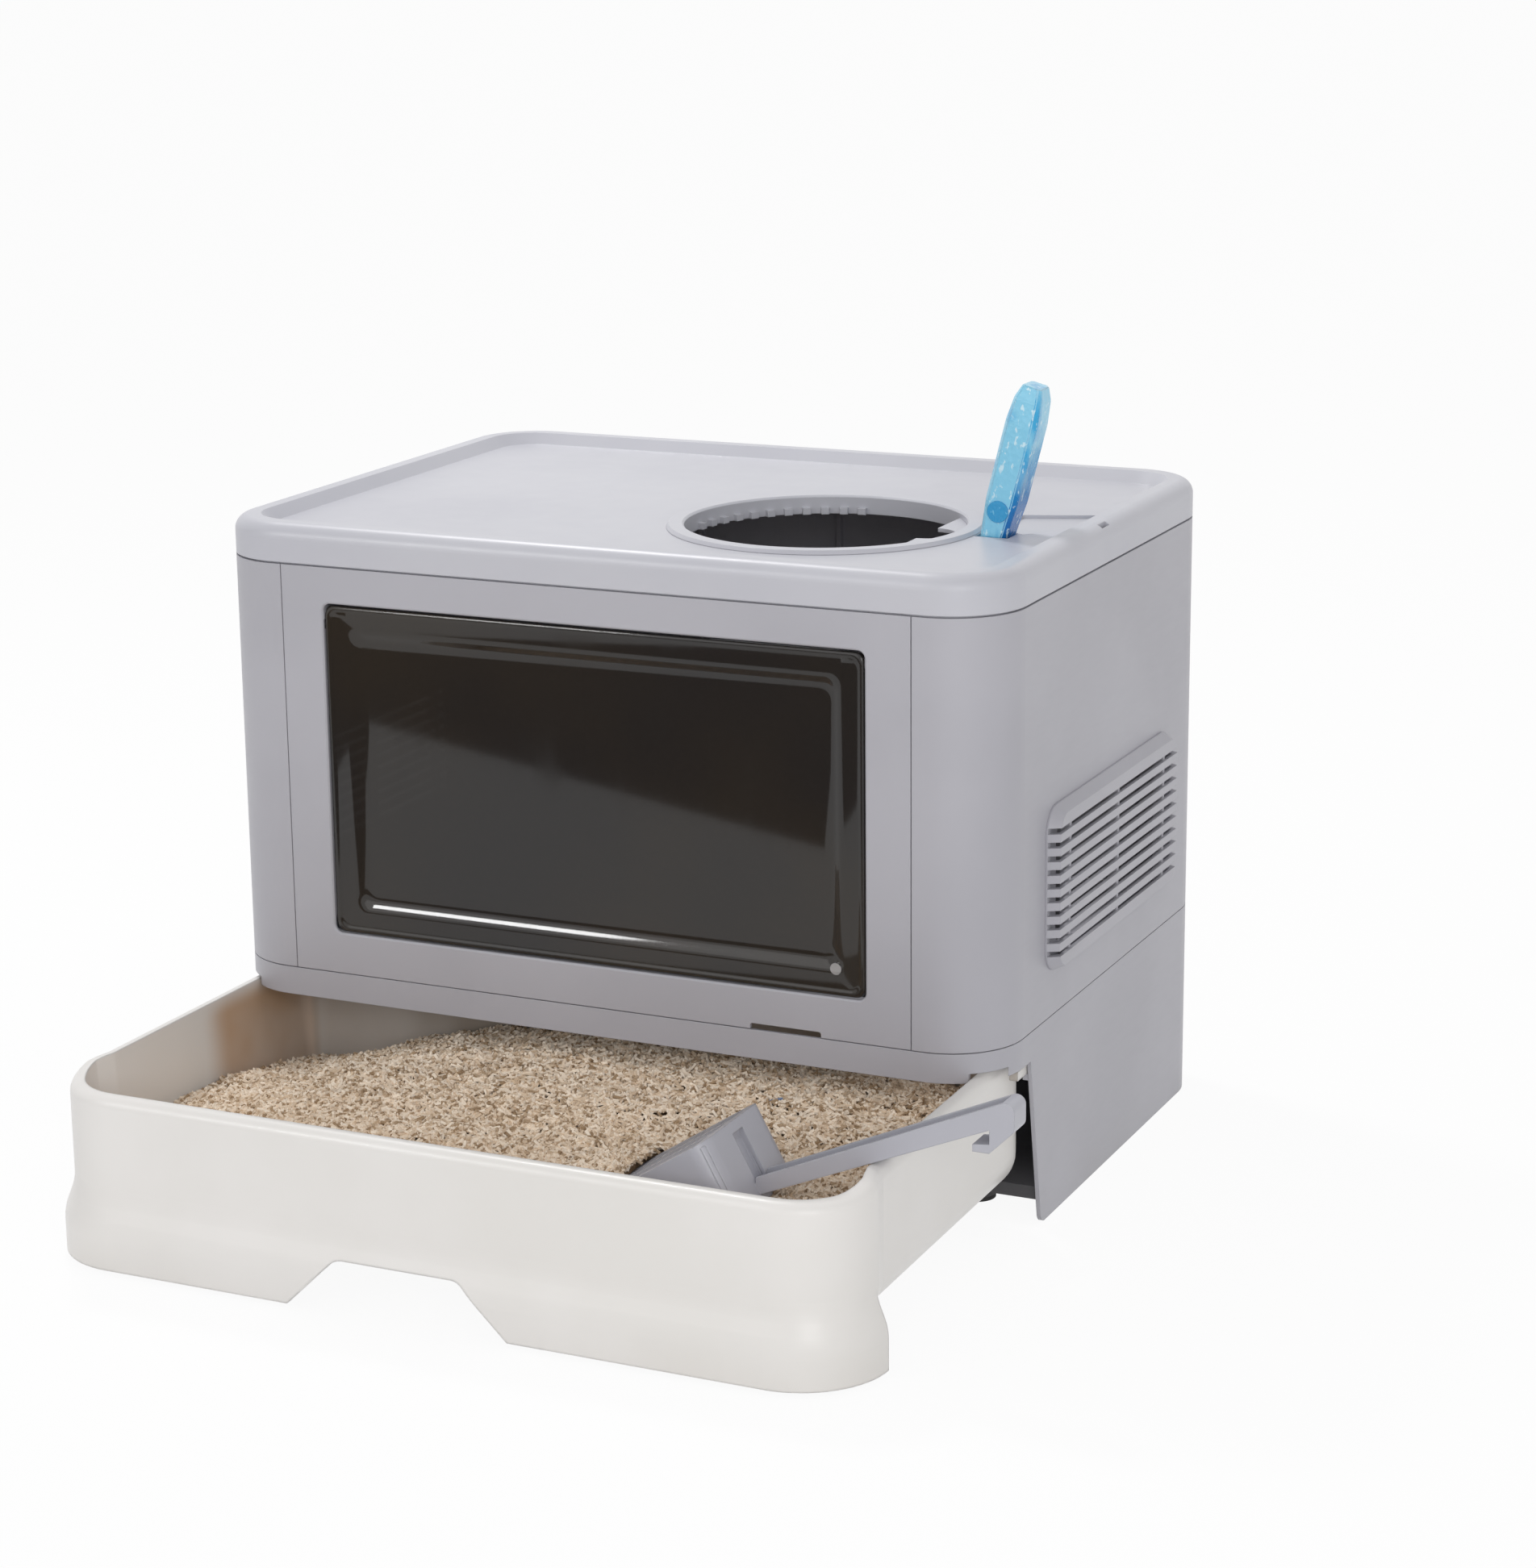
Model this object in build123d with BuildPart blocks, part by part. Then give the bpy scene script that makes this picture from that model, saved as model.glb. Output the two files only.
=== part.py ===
"""Top-entry drawer litter box: moulded housing, pull-out tray, window flap, lid and scoop.

Millimetres. The origin is the middle of the base's footprint on the floor, +Z is up,
and the drawer pulls out towards -Y. The tray is drawn pulled out by pull_out.
"""
import os
from math import cos, radians, sin, tan

from build123d import *

os.makedirs("parts", exist_ok=True)

# ---- housing ----
width = 510.0
depth = 375.0
corner_radius = 44.5
wall = 2.5
base_seam_z = 124.0
lid_seam_z = 377.5
seam_gap = 0.6
strip_bottom_z = 106.5
fit_clearance = 0.3
front_y = -depth / 2
back_y = depth / 2

# ---- base ----
side_edge_top_y = 58.0
side_edge_foot_y = 77.0
rim_notch_inner_x = 236.0
rim_notch_top_z = 112.0
ledge_depth = 4.0
floor_front_y = 79.0
floor_top_z = 21.5
floor_lip = 8.0
floor_thickness = 2.6
rail_x = 150.0
rail_width = 9.0
foot_radius = 12.0
foot_height = 2.5
foot_inset = 52.0

# ---- panels and window ----
panel_half = 204.0
lap_width = 9.0
window_half = 176.0
window_bottom_z = 150.0
window_top_z = 355.0
window_radius = 5.0
frame_rib = 3.0
frame_rib_depth = 5.0
slot_x = 125.5
slot_width = 45.0
slot_height = 3.4

# ---- flap ----
flap_gap = 0.8
flap_top_gap = 1.2
flap_thickness = 2.4
flap_setback = 1.0
flap_border = 18.0
flap_dish = 3.4
flap_dish_slope = 3.4
flap_dish_radius = 9.0
hinge_z = 349.0
hinge_setback = 5.3
hinge_pin_radius = 1.8
hinge_running = 0.06
knuckle_radius = 4.2
knuckle_length = 13.0
knuckle_inset = 1.0
lug_length = 8.0
lug_gap = 0.5
flap_button_radius = 3.5
flap_button_x = 157.0
flap_button_z = 167.0

# ---- lid ----
lid_top_z = 401.0
lid_edge_radius = 9.0
lid_wall = 2.9
deck_z = 394.0
rim_width = 22.0
rim_slope = 6.0
deck_thickness = 3.0
tongue_depth = 6.5
tongue_thickness = 2.2

# ---- entry ----
entry_x = 86.0
entry_y = -35.5
entry_radius = 88.0
entry_lip = 8.0
entry_lip_height = 2.6
sleeve_thickness = 2.6
sleeve_depth = 9.0
tooth_count = 11
tooth_pitch = 8.0
tooth_start = 98.0
tooth_width = 5.0
tooth_reach = 3.2
tooth_height = 4.0
step_x = 150.0
step_thickness = 2.4
step_drop = 1.5
step_hole_radius = 1.6

# ---- lid channel, cartridge and catches ----
channel_depth = 2.0
cartridge_x = 193.0
cartridge_y = -25.0
cartridge_lean = 14.5
cartridge_width = 20.0
cartridge_depth = 25.0
cartridge_length = 101.0
cartridge_sink = 9.0
socket_wall = 2.6
grille_inset = 3.0
grille_proud = 0.8
grille_depth = 1.5
grille_pitch = 6.0
grille_slot = 2.2
plug_radius = 6.5
plug_up = 16.0
plug_proud = 0.6
case_chamfer = 3.5
case_round = 2.0
catch_y = -4.0
catch_length = 12.0
catch_thickness = 2.4
catch_top_z = 397.0
catch_width = 20.0
catch_root = 10.0
strap_drop = 34.0

# ---- side vents ----
vent_centre_y = 0.0
vent_length = 217.0
vent_bottom_z = 152.0
vent_top_z = 252.0
vent_radius = 16.0
vent_proud = 8.0
vent_wall = 2.4
louvre_pitch = 8.2
louvre_gap = 3.4
vent_bar_count = 3

# ---- drawer ----
pull_out = 206.0
tray_length = 282.0
tray_front_half = 251.6
tray_side_half = 248.4
tray_rear_half = 246.4
tray_front_radius = 44.0
tray_rear_radius = 24.0
tray_blend_start = 46.0
tray_blend_end = 60.0
tray_bottom_z = 27.0
tray_bottom_radius = 22.0
tray_front_z = 105.3
tray_side_z = 110.0
tray_rise_start = 20.0
tray_rise_end = 54.0
tray_rim = 8.6
tray_rim_radius = 6.5
tray_floor = 3.2
tub_draft = 4.0
tub_radius = 14.0
apron_foot_z = 3.0
apron_top_z = 60.0
apron_wall = 3.5
apron_flare = 7.0
apron_flare_top_z = 45.0
apron_flare_low_z = 27.0
apron_wrap = 43.0
apron_bend = 30.0
notch_x = -16.0
notch_top_width = 78.0
notch_foot_width = 140.0
notch_z = 33.0
notch_radius = 11.0
lug_bottom_z = 98.0
lug_height = 5.5
lug_reach_x = 251.8
lug_width = 11.3
lug_run = 22.0
lug_setback = 20.0

# ---- litter ----
litter_gap = 0.4
litter_rows = [
    (-9.5, (54, 60, 69, 74, 75, 70, 70, 71, 72)),
    (56.0, (56, 66, 76, 80, 78, 70, 72, 75, 77)),
    (106.0, (57, 67, 78, 83, 82, 76, 77, 79, 80)),
    (156.0, (56, 65, 77, 84, 87, 86, 84, 83, 82)),
    (226.0, (48, 54, 68, 80, 85, 86, 86, 84, 82)),
    (290.0, (43, 40, 58, 76, 84, 85, 84, 82, 80)),
]
litter_columns = (-262, -200, -150, -95, -30, 40, 108, 172, 262)

# ---- scoop, lying open side down with its handle over the tray's right rim ----
scoop_x = 155.0
scoop_y = -322.5
scoop_z = 120.0
scoop_pitch = 33.0
blade_length = 120.0
blade_width = 76.0
blade_wall = 2.4
blade_corner = 11.0
heel_height = 46.0
heel_lean = 4.0
tip_height = 3.5
slot_bands = 3
blade_slot_long = 18.5
blade_slot_wide = 2.4
blade_slot_pitch = 5.0
blade_slot_rib = 4.0
groove_width = 12.6
groove_depth = 4.5
groove_start = 6.0
handle_slope = 0.42
handle_rim_gap = 0.5
handle_width = 17.0
handle_wall = 2.2
handle_root_depth = 10.0
handle_end_depth = 13.0
handle_end_x = 321.5
hook_inner_x = 307.5
hook_tip_x = 298.0
hook_top_z = 131.0
hook_foot_z = 126.0
hook_round = 5.0
scoop_clearance = 1.2
scoop_lift_ratio = 2.7


def footprint(inset):
    """Rounded outline of the housing, moved inwards by inset."""
    RectangleRounded(width - 2 * inset, depth - 2 * inset, corner_radius - inset)


def write(part, name):
    part.label = name
    export_step(part, f"parts/{name}.step")


# ---- base: a walled ring, open at the front under the strip ----
inner_x = width / 2 - wall
edge_slope = (side_edge_foot_y - side_edge_top_y) / strip_bottom_z

with BuildPart() as base_frame:
    with BuildSketch():
        footprint(0)
        RectangleRounded(
            width - 2 * wall, depth - 2 * wall, corner_radius - wall, mode=Mode.SUBTRACT
        )
    extrude(amount=base_seam_z)
    # The mouth that the drawer slides through, with raked side edges.
    with BuildSketch(Plane.YZ.offset(-width)):
        with BuildLine():
            Polyline(
                (front_y - 10, -10),
                (front_y + side_edge_foot_y + 10 * edge_slope, -10),
                (front_y + side_edge_top_y, strip_bottom_z),
                (front_y - 10, strip_bottom_z),
                close=True,
            )
        make_face()
    extrude(amount=2 * width, mode=Mode.SUBTRACT)
    # Notches in the strip's corners let the tray's higher side rims pass.
    notch_span = lug_reach_x + fit_clearance - rim_notch_inner_x
    for side in (-1, 1):
        with BuildSketch(Plane.XY.offset(strip_bottom_z - 5)):
            with Locations((side * (rim_notch_inner_x + notch_span / 2), front_y + corner_radius / 2)):
                Rectangle(notch_span, corner_radius + 12)
        extrude(amount=rim_notch_top_z - strip_bottom_z + 5, mode=Mode.SUBTRACT)
    # Ledges that carry the lugs at the back of the tray.
    ledge_inner_x = tray_side_half + 2 * fit_clearance
    ledge_start = front_y + side_edge_top_y + 2.5
    ledge_end = front_y + tray_length + 2 * fit_clearance
    for side in (-1, 1):
        with BuildSketch(Plane.XY.offset(lug_bottom_z - fit_clearance - ledge_depth)):
            with Locations((side * (ledge_inner_x + inner_x) / 2, (ledge_start + ledge_end) / 2)):
                Rectangle(inner_x - ledge_inner_x, ledge_end - ledge_start)
        extrude(amount=ledge_depth)
    foot_edges = base_frame.edges().filter_by(Axis.X).group_by(Axis.Z)[0].group_by(Axis.Y)[0]
    fillet(foot_edges, 7)
write(base_frame.part, "base_frame")

# ---- floor of the base: a raised tray deck with rails, on four posts ----
floor_inset = wall
foot_x = width / 2 - foot_inset
foot_front_y = front_y + floor_front_y + foot_inset / 2
foot_back_y = back_y - foot_inset
foot_places = [
    (-foot_x, foot_front_y),
    (foot_x, foot_front_y),
    (-foot_x, foot_back_y),
    (foot_x, foot_back_y),
    (0, 0),
]
floor_start = front_y + floor_front_y
rail_top_z = tray_bottom_z - fit_clearance

with BuildPart() as base_floor:
    with BuildSketch(Plane.XY.offset(floor_top_z - floor_lip)):
        footprint(floor_inset)
        with Locations((0, floor_start - depth / 2)):
            Rectangle(width, depth, mode=Mode.SUBTRACT)
    extrude(amount=floor_lip)
    with BuildSketch(Plane.XY.offset(floor_top_z - floor_lip)):
        footprint(floor_inset + floor_thickness)
        with Locations((0, floor_start + floor_thickness - depth / 2)):
            Rectangle(width, depth, mode=Mode.SUBTRACT)
    extrude(amount=floor_lip - floor_thickness, mode=Mode.SUBTRACT)
    with BuildSketch(Plane.XY.offset(foot_height)):
        with Locations(*foot_places):
            Circle(foot_radius)
    extrude(amount=floor_top_z - floor_thickness - foot_height)
    with BuildSketch(Plane.XY.offset(floor_top_z - floor_thickness)):
        for x in (-rail_x, 0, rail_x):
            with Locations((x, (floor_start + front_y + tray_length) / 2 + 4)):
                RectangleRounded(rail_width, tray_length - floor_front_y - 8, rail_width / 2 - 0.1)
    extrude(amount=rail_top_z - floor_top_z + floor_thickness)
write(base_floor.part, "base_floor")

with BuildPart() as anti_slip_feet:
    with BuildSketch():
        with Locations(*foot_places):
            Circle(foot_radius)
    extrude(amount=foot_height)
write(anti_slip_feet.part, "anti_slip_feet")

# ---- side shells, each with both of its corners ----
shell_bottom_z = base_seam_z + seam_gap
shell_top_z = lid_seam_z - seam_gap
shell_height = shell_top_z - shell_bottom_z
shell_edge_x = panel_half + seam_gap / 2
vent_height = vent_top_z - vent_bottom_z
vent_centre_z = (vent_bottom_z + vent_top_z) / 2
air_length = vent_length - 2 * (vent_proud + vent_wall) - 14
air_height = vent_height - 2 * (vent_proud + vent_wall) - 8
lap_height = shell_height - tongue_depth - 8


def side_shell(side):
    with BuildPart() as shell:
        with BuildSketch(Plane.XY.offset(shell_bottom_z)):
            footprint(0)
            RectangleRounded(
                width - 2 * wall, depth - 2 * wall, corner_radius - wall, mode=Mode.SUBTRACT
            )
            with Locations((side * (shell_edge_x - width), 0)):
                Rectangle(2 * width, 2 * depth, mode=Mode.SUBTRACT)
        extrude(amount=shell_height)
        # Laps behind the front and back panels.
        for end in (-1, 1):
            lap_y = end * (depth / 2 - wall - wall / 2 - fit_clearance)
            with BuildSketch(Plane.XY.offset(shell_bottom_z)):
                with Locations((side * (shell_edge_x - lap_width / 2 + wall), lap_y)):
                    Rectangle(lap_width + 2 * wall, wall)
                with Locations((side * (shell_edge_x + wall + 0.4), lap_y + end * fit_clearance)):
                    Rectangle(wall, wall + 2 * fit_clearance)
            extrude(amount=lap_height)
        # Air window behind the vent cover.
        with BuildSketch(Plane.YZ.offset(side * (width / 2 - wall - 5))):
            with Locations((vent_centre_y, vent_centre_z)):
                RectangleRounded(air_length, air_height, vent_radius / 2)
        extrude(amount=side * (wall + 10), mode=Mode.SUBTRACT)
    return shell.part


left_shell = side_shell(-1)
right_shell = side_shell(1)
write(left_shell, "left_shell")
write(right_shell, "right_shell")

# ---- front panel with the window opening, and the plain back panel ----
window_height = window_top_z - window_bottom_z
window_centre_z = (window_top_z + window_bottom_z) / 2
hinge_y = front_y + hinge_setback
flap_half = window_half - flap_gap
lug_start_x = flap_half + lug_gap

with BuildPart() as front_panel:
    with BuildSketch(Plane.XZ.offset(-front_y)):
        with Locations((0, shell_bottom_z + shell_height / 2)):
            Rectangle(2 * panel_half - seam_gap, shell_height)
    extrude(amount=-wall)
    # Stiffening frame behind the panel, round the sides and foot of the window.
    with BuildSketch(Plane.XZ.offset(-front_y - wall)):
        with Locations((0, window_centre_z - frame_rib)):
            Rectangle(2 * (window_half + frame_rib), window_height - 26)
            Rectangle(2 * window_half, window_height + 10, mode=Mode.SUBTRACT)
        with Locations((0, window_bottom_z - frame_rib / 2)):
            Rectangle(2 * (window_half + frame_rib), frame_rib)
    extrude(amount=-frame_rib_depth)
    with BuildSketch(Plane.XZ.offset(-front_y + 5)):
        with Locations((0, window_centre_z)):
            RectangleRounded(2 * window_half, window_height, window_radius)
    extrude(amount=-wall - 5, mode=Mode.SUBTRACT)
    # Hinge lugs behind the upper corners.
    for side in (-1, 1):
        with BuildSketch(Plane.YZ.offset(side * (lug_start_x + lug_length))):
            with Locations(((front_y + hinge_y) / 2 + knuckle_radius / 2 + 0.6, hinge_z)):
                Rectangle(hinge_setback + knuckle_radius - 1.2, 2 * knuckle_radius)
            with Locations((hinge_y, hinge_z)):
                Circle(hinge_pin_radius, mode=Mode.SUBTRACT)
        extrude(amount=-side * lug_length)
    outer_edges = front_panel.edges().group_by(Axis.Y)[0].filter_by(
        lambda e: abs(e.center().X) < window_half + 1
        and window_bottom_z - 1 < e.center().Z < window_top_z + 1
    )
    chamfer(outer_edges, 0.9)
    # Finger slot at the panel's foot.
    with BuildSketch(Plane.XZ.offset(-front_y + 5)):
        with Locations((slot_x, shell_bottom_z + slot_height / 2 - 2)):
            RectangleRounded(slot_width, slot_height + 4, 1.5)
    extrude(amount=-wall - 5, mode=Mode.SUBTRACT)
write(front_panel.part, "front_panel")

with BuildPart() as back_panel:
    with BuildSketch(Plane.XZ.offset(-back_y + wall)):
        with Locations((0, shell_bottom_z + shell_height / 2)):
            Rectangle(2 * panel_half - seam_gap, shell_height)
    extrude(amount=-wall)
    rib_y = back_y - wall
    with BuildSketch(Plane.XZ.offset(-rib_y)):
        for x in (-panel_half / 2, 0, panel_half / 2):
            with Locations((x, shell_bottom_z + shell_height / 2)):
                Rectangle(frame_rib, shell_height - 4 * tongue_depth)
    extrude(amount=frame_rib_depth)
write(back_panel.part, "back_panel")

# ---- window flap: a dished clear sheet that hangs on two pins ----
flap_bottom_z = window_bottom_z + flap_gap
flap_top_z = window_top_z - flap_top_gap
flap_height = flap_top_z - flap_bottom_z
flap_centre_z = (flap_top_z + flap_bottom_z) / 2
flap_y = front_y + flap_setback
dish_half = flap_half - flap_border
dish_height = flap_height - 2 * flap_border

with BuildPart() as dish_hollow:
    with BuildSketch(Plane.XZ.offset(-flap_y + 0.01)):
        with Locations((0, flap_centre_z)):
            RectangleRounded(2 * dish_half, dish_height, flap_dish_radius)
    with BuildSketch(Plane.XZ.offset(-flap_y - flap_dish)):
        with Locations((0, flap_centre_z)):
            RectangleRounded(
                2 * (dish_half - flap_dish_slope),
                dish_height - 2 * flap_dish_slope,
                flap_dish_radius - flap_dish_slope,
            )
    loft()

with BuildPart() as window_flap:
    with BuildSketch(Plane.XZ.offset(-flap_y)):
        with Locations((0, flap_centre_z)):
            RectangleRounded(2 * flap_half, flap_height, window_radius - flap_gap)
    extrude(amount=-flap_thickness)
    with BuildSketch(Plane.XZ.offset(-flap_y - flap_thickness + 0.01)):
        with Locations((0, flap_centre_z)):
            RectangleRounded(2 * dish_half + 2, dish_height + 2, flap_dish_radius + 1)
    with BuildSketch(Plane.XZ.offset(-flap_y - flap_thickness - flap_dish)):
        with Locations((0, flap_centre_z)):
            RectangleRounded(
                2 * (dish_half - flap_dish_slope) + 2,
                dish_height - 2 * flap_dish_slope + 2,
                flap_dish_radius - flap_dish_slope + 1,
            )
    loft()
    add(dish_hollow.part, mode=Mode.SUBTRACT)
    for side in (-1, 1):
        with BuildSketch(Plane.YZ.offset(side * (flap_half - knuckle_inset))):
            with Locations((hinge_y, hinge_z)):
                Circle(knuckle_radius)
            with Locations(((flap_y + hinge_y) / 2 + flap_thickness / 4, hinge_z)):
                Rectangle(hinge_y - flap_y - flap_thickness / 2, 2 * knuckle_radius)
        extrude(amount=-side * knuckle_length)
        with BuildSketch(Plane.YZ.offset(side * (flap_half + 1))):
            with Locations((hinge_y, hinge_z)):
                Circle(hinge_pin_radius + hinge_running)
        extrude(amount=-side * (knuckle_length + 2), mode=Mode.SUBTRACT)
    with BuildSketch(Plane.XZ.offset(-flap_y + 1)):
        with Locations((flap_button_x, flap_button_z)):
            Circle(flap_button_radius)
    extrude(amount=-flap_thickness - flap_dish - 4, mode=Mode.SUBTRACT)
write(window_flap.part, "window_flap")

with BuildPart() as flap_magnet:
    with BuildSketch(Plane.XZ.offset(-flap_y)):
        with Locations((flap_button_x, flap_button_z)):
            Circle(flap_button_radius)
    extrude(amount=-flap_thickness)
write(flap_magnet.part, "flap_magnet")

pin_start = flap_half - knuckle_length + 1
pin_end = lug_start_x + lug_length
with BuildPart() as hinge_pins:
    for side in (-1, 1):
        with BuildSketch(Plane.YZ.offset(side * pin_start)):
            with Locations((hinge_y, hinge_z)):
                Circle(hinge_pin_radius)
        extrude(amount=side * (pin_end - pin_start))
write(hinge_pins.part, "flap_hinge_pins")

# ---- lid: raised rim, sunk deck, entry hole, channel and cartridge socket ----
lid_bottom_z = lid_seam_z + seam_gap
deck_under_z = deck_z - deck_thickness
channel_points = [
    (cartridge_x + 14, cartridge_y + 2),
    (width / 2 - rim_width + 2, cartridge_y + 39),
    (width / 2 - rim_width + 2, cartridge_y + 79),
    (cartridge_x - 8, cartridge_y + 61),
    (cartridge_x - 8, cartridge_y + 16),
]
lean = Plane(
    origin=(cartridge_x, cartridge_y, deck_z),
    x_dir=(cos(radians(cartridge_lean)), 0, -sin(radians(cartridge_lean))),
    z_dir=(sin(radians(cartridge_lean)), 0, cos(radians(cartridge_lean))),
)
catch_x = width / 2 - lid_wall - fit_clearance - catch_thickness / 2

with BuildPart() as lid:
    with BuildSketch(Plane.XY.offset(lid_bottom_z)):
        footprint(0)
    extrude(amount=lid_top_z - lid_bottom_z)
    fillet(lid.faces().sort_by(Axis.Z)[-1].edges(), lid_edge_radius)
    # Sunk deck inside the rim, down a sloped inner face.
    with BuildSketch(Plane.XY.offset(deck_z)):
        footprint(rim_width)
    with BuildSketch(Plane.XY.offset(lid_top_z)):
        footprint(rim_width - rim_slope)
    loft(mode=Mode.SUBTRACT)
    # Hollow underside, with a groove that cores out the rim.
    with BuildSketch(Plane.XY.offset(lid_bottom_z)):
        footprint(lid_wall)
    extrude(amount=deck_under_z - lid_bottom_z, mode=Mode.SUBTRACT)
    with BuildSketch(Plane.XY.offset(deck_under_z)):
        footprint(lid_edge_radius)
        RectangleRounded(
            width - 2 * (rim_width - rim_slope - lid_wall),
            depth - 2 * (rim_width - rim_slope - lid_wall),
            corner_radius - (rim_width - rim_slope - lid_wall),
            mode=Mode.SUBTRACT,
        )
    extrude(amount=lid_top_z - lid_wall - deck_under_z, mode=Mode.SUBTRACT)
    # Tongue that drops inside the shells.
    with BuildSketch(Plane.XY.offset(lid_bottom_z - tongue_depth)):
        footprint(lid_wall)
        RectangleRounded(
            width - 2 * (lid_wall + tongue_thickness),
            depth - 2 * (lid_wall + tongue_thickness),
            corner_radius - lid_wall - tongue_thickness,
            mode=Mode.SUBTRACT,
        )
    extrude(amount=deck_under_z - lid_bottom_z + tongue_depth)
    # Shallow air channel, thickened from below.
    with BuildSketch(Plane.XY.offset(deck_under_z - channel_depth)):
        with BuildLine():
            Polyline(*channel_points, close=True)
        make_face()
        offset(amount=3)
    extrude(amount=channel_depth)
    with BuildSketch(Plane.XY.offset(deck_z - channel_depth)):
        with BuildLine():
            Polyline(*channel_points, close=True)
        make_face()
    extrude(amount=channel_depth + 0.5, mode=Mode.SUBTRACT)
    # Leaning socket for the cartridge.
    with BuildSketch(lean.offset(-cartridge_sink - socket_wall)):
        Rectangle(
            cartridge_width + 2 * (fit_clearance + socket_wall),
            cartridge_depth + 2 * (fit_clearance + socket_wall),
        )
    extrude(amount=cartridge_sink + socket_wall)
    with BuildSketch(Plane.XY.offset(deck_z)):
        with Locations((cartridge_x, cartridge_y)):
            Rectangle(2 * cartridge_width, 2 * cartridge_depth)
    extrude(amount=cartridge_width, mode=Mode.SUBTRACT)
    with BuildSketch(lean.offset(-cartridge_sink)):
        Rectangle(cartridge_width + 2 * fit_clearance, cartridge_depth + 2 * fit_clearance)
    extrude(amount=cartridge_sink + 20, mode=Mode.SUBTRACT)
    # Entry hole and catch windows.
    with BuildSketch(Plane.XY.offset(deck_under_z - 5)):
        with Locations((entry_x, entry_y)):
            Circle(entry_radius)
    extrude(amount=30, mode=Mode.SUBTRACT)
    for side in (-1, 1):
        with BuildSketch(Plane.XY.offset(lid_bottom_z - tongue_depth - 1)):
            with Locations((side * catch_x, catch_y)):
                Rectangle(catch_thickness + 2 * fit_clearance, catch_length + 2 * fit_clearance)
        extrude(amount=lid_top_z - lid_bottom_z + tongue_depth + 2, mode=Mode.SUBTRACT)
        with BuildSketch(Plane.XY.offset(lid_bottom_z - tongue_depth - 1)):
            with Locations((side * (catch_x - 0.6), catch_y)):
                Rectangle(catch_thickness + 2 * fit_clearance + 1.2, catch_width + 2 * fit_clearance)
        extrude(amount=tongue_depth + deck_under_z - lid_bottom_z - 2, mode=Mode.SUBTRACT)
write(lid.part, "lid")

# ---- entry ring: rounded lip, sleeve and claw teeth ----
sleeve_radius = entry_radius - fit_clearance
bore_radius = sleeve_radius - sleeve_thickness
with BuildPart() as entry_ring:
    with BuildSketch(Plane.XZ.offset(-entry_y)):
        with BuildLine():
            Polyline(
                (entry_x + bore_radius, deck_z - sleeve_depth),
                (entry_x + sleeve_radius, deck_z - sleeve_depth),
                (entry_x + sleeve_radius, deck_z + 0.1),
                (entry_x + entry_radius + entry_lip, deck_z + 0.1),
                (entry_x + entry_radius + entry_lip - 1.6, deck_z + entry_lip_height),
                (entry_x + bore_radius + 1.2, deck_z + entry_lip_height),
                (entry_x + bore_radius, deck_z + entry_lip_height - 1.2),
                close=True,
            )
        make_face()
    revolve(axis=Axis((entry_x, entry_y, 0), (0, 0, 1)))
    with BuildSketch(Plane.XY.offset(deck_z - sleeve_depth)):
        for tooth in range(tooth_count):
            angle = tooth_start + tooth * tooth_pitch
            with Locations(
                Location((entry_x, entry_y, 0), (0, 0, angle))
                * Location((bore_radius - tooth_reach / 2 + 0.3, 0, 0))
            ):
                Rectangle(tooth_reach + 0.6, tooth_width)
    extrude(amount=tooth_height)
write(entry_ring.part, "entry_ring")

# ---- perforated step inside the right of the entry ----
step_radius = bore_radius - 0.1
step_chord = step_x - entry_x
step_z = deck_z - step_drop
with BuildPart() as step_pad:
    with BuildSketch(Plane.XY.offset(step_z - step_thickness)):
        with Locations((entry_x, entry_y)):
            Circle(step_radius)
        with Locations((entry_x + step_chord - width / 2, entry_y)):
            Rectangle(width, depth, mode=Mode.SUBTRACT)
        with Locations((entry_x + step_chord, entry_y + 4)):
            Circle(17, mode=Mode.SUBTRACT)
        with Locations((entry_x + step_chord + 20.5, entry_y)):
            with GridLocations(7, 7, 1, 9):
                Circle(step_hole_radius, mode=Mode.SUBTRACT)
    extrude(amount=step_thickness)
write(step_pad.part, "step_pad")

# ---- cartridge: leaning case, side grille and round plug ----
case_low = fit_clearance - cartridge_sink
case_high = case_low + cartridge_length
case_half = cartridge_width / 2
case_front = Plane(origin=lean.origin, x_dir=lean.x_dir, z_dir=(0, -1, 0))
case_right = Plane(origin=lean.origin, x_dir=(0, 1, 0), z_dir=lean.x_dir)
grille_centre = (case_low + case_high) / 2 + 2
grille_length = cartridge_length - 30

with BuildPart() as cartridge_case:
    with BuildSketch(case_front.offset(cartridge_depth / 2)):
        with BuildLine():
            Polyline(
                (-case_half, case_low),
                (case_half, case_low),
                (case_half, case_high - case_chamfer),
                (case_half - case_chamfer, case_high),
                (-case_half, case_high),
                close=True,
            )
        make_face()
    extrude(amount=-cartridge_depth)
    long_edges = cartridge_case.edges().filter_by(Axis((0, 0, 0), tuple(lean.z_dir)))
    fillet(long_edges, case_round)
    with BuildSketch(case_right.offset(case_half)):
        with Locations((0, grille_centre)):
            Rectangle(cartridge_depth - 2 * grille_inset, grille_length)
    extrude(amount=-grille_depth, mode=Mode.SUBTRACT)
    with BuildSketch(case_front.offset(cartridge_depth / 2)):
        with Locations((0, plug_up)):
            Circle(plug_radius)
    extrude(amount=-grille_depth, mode=Mode.SUBTRACT)
write(cartridge_case.part, "cartridge_case")

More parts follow.
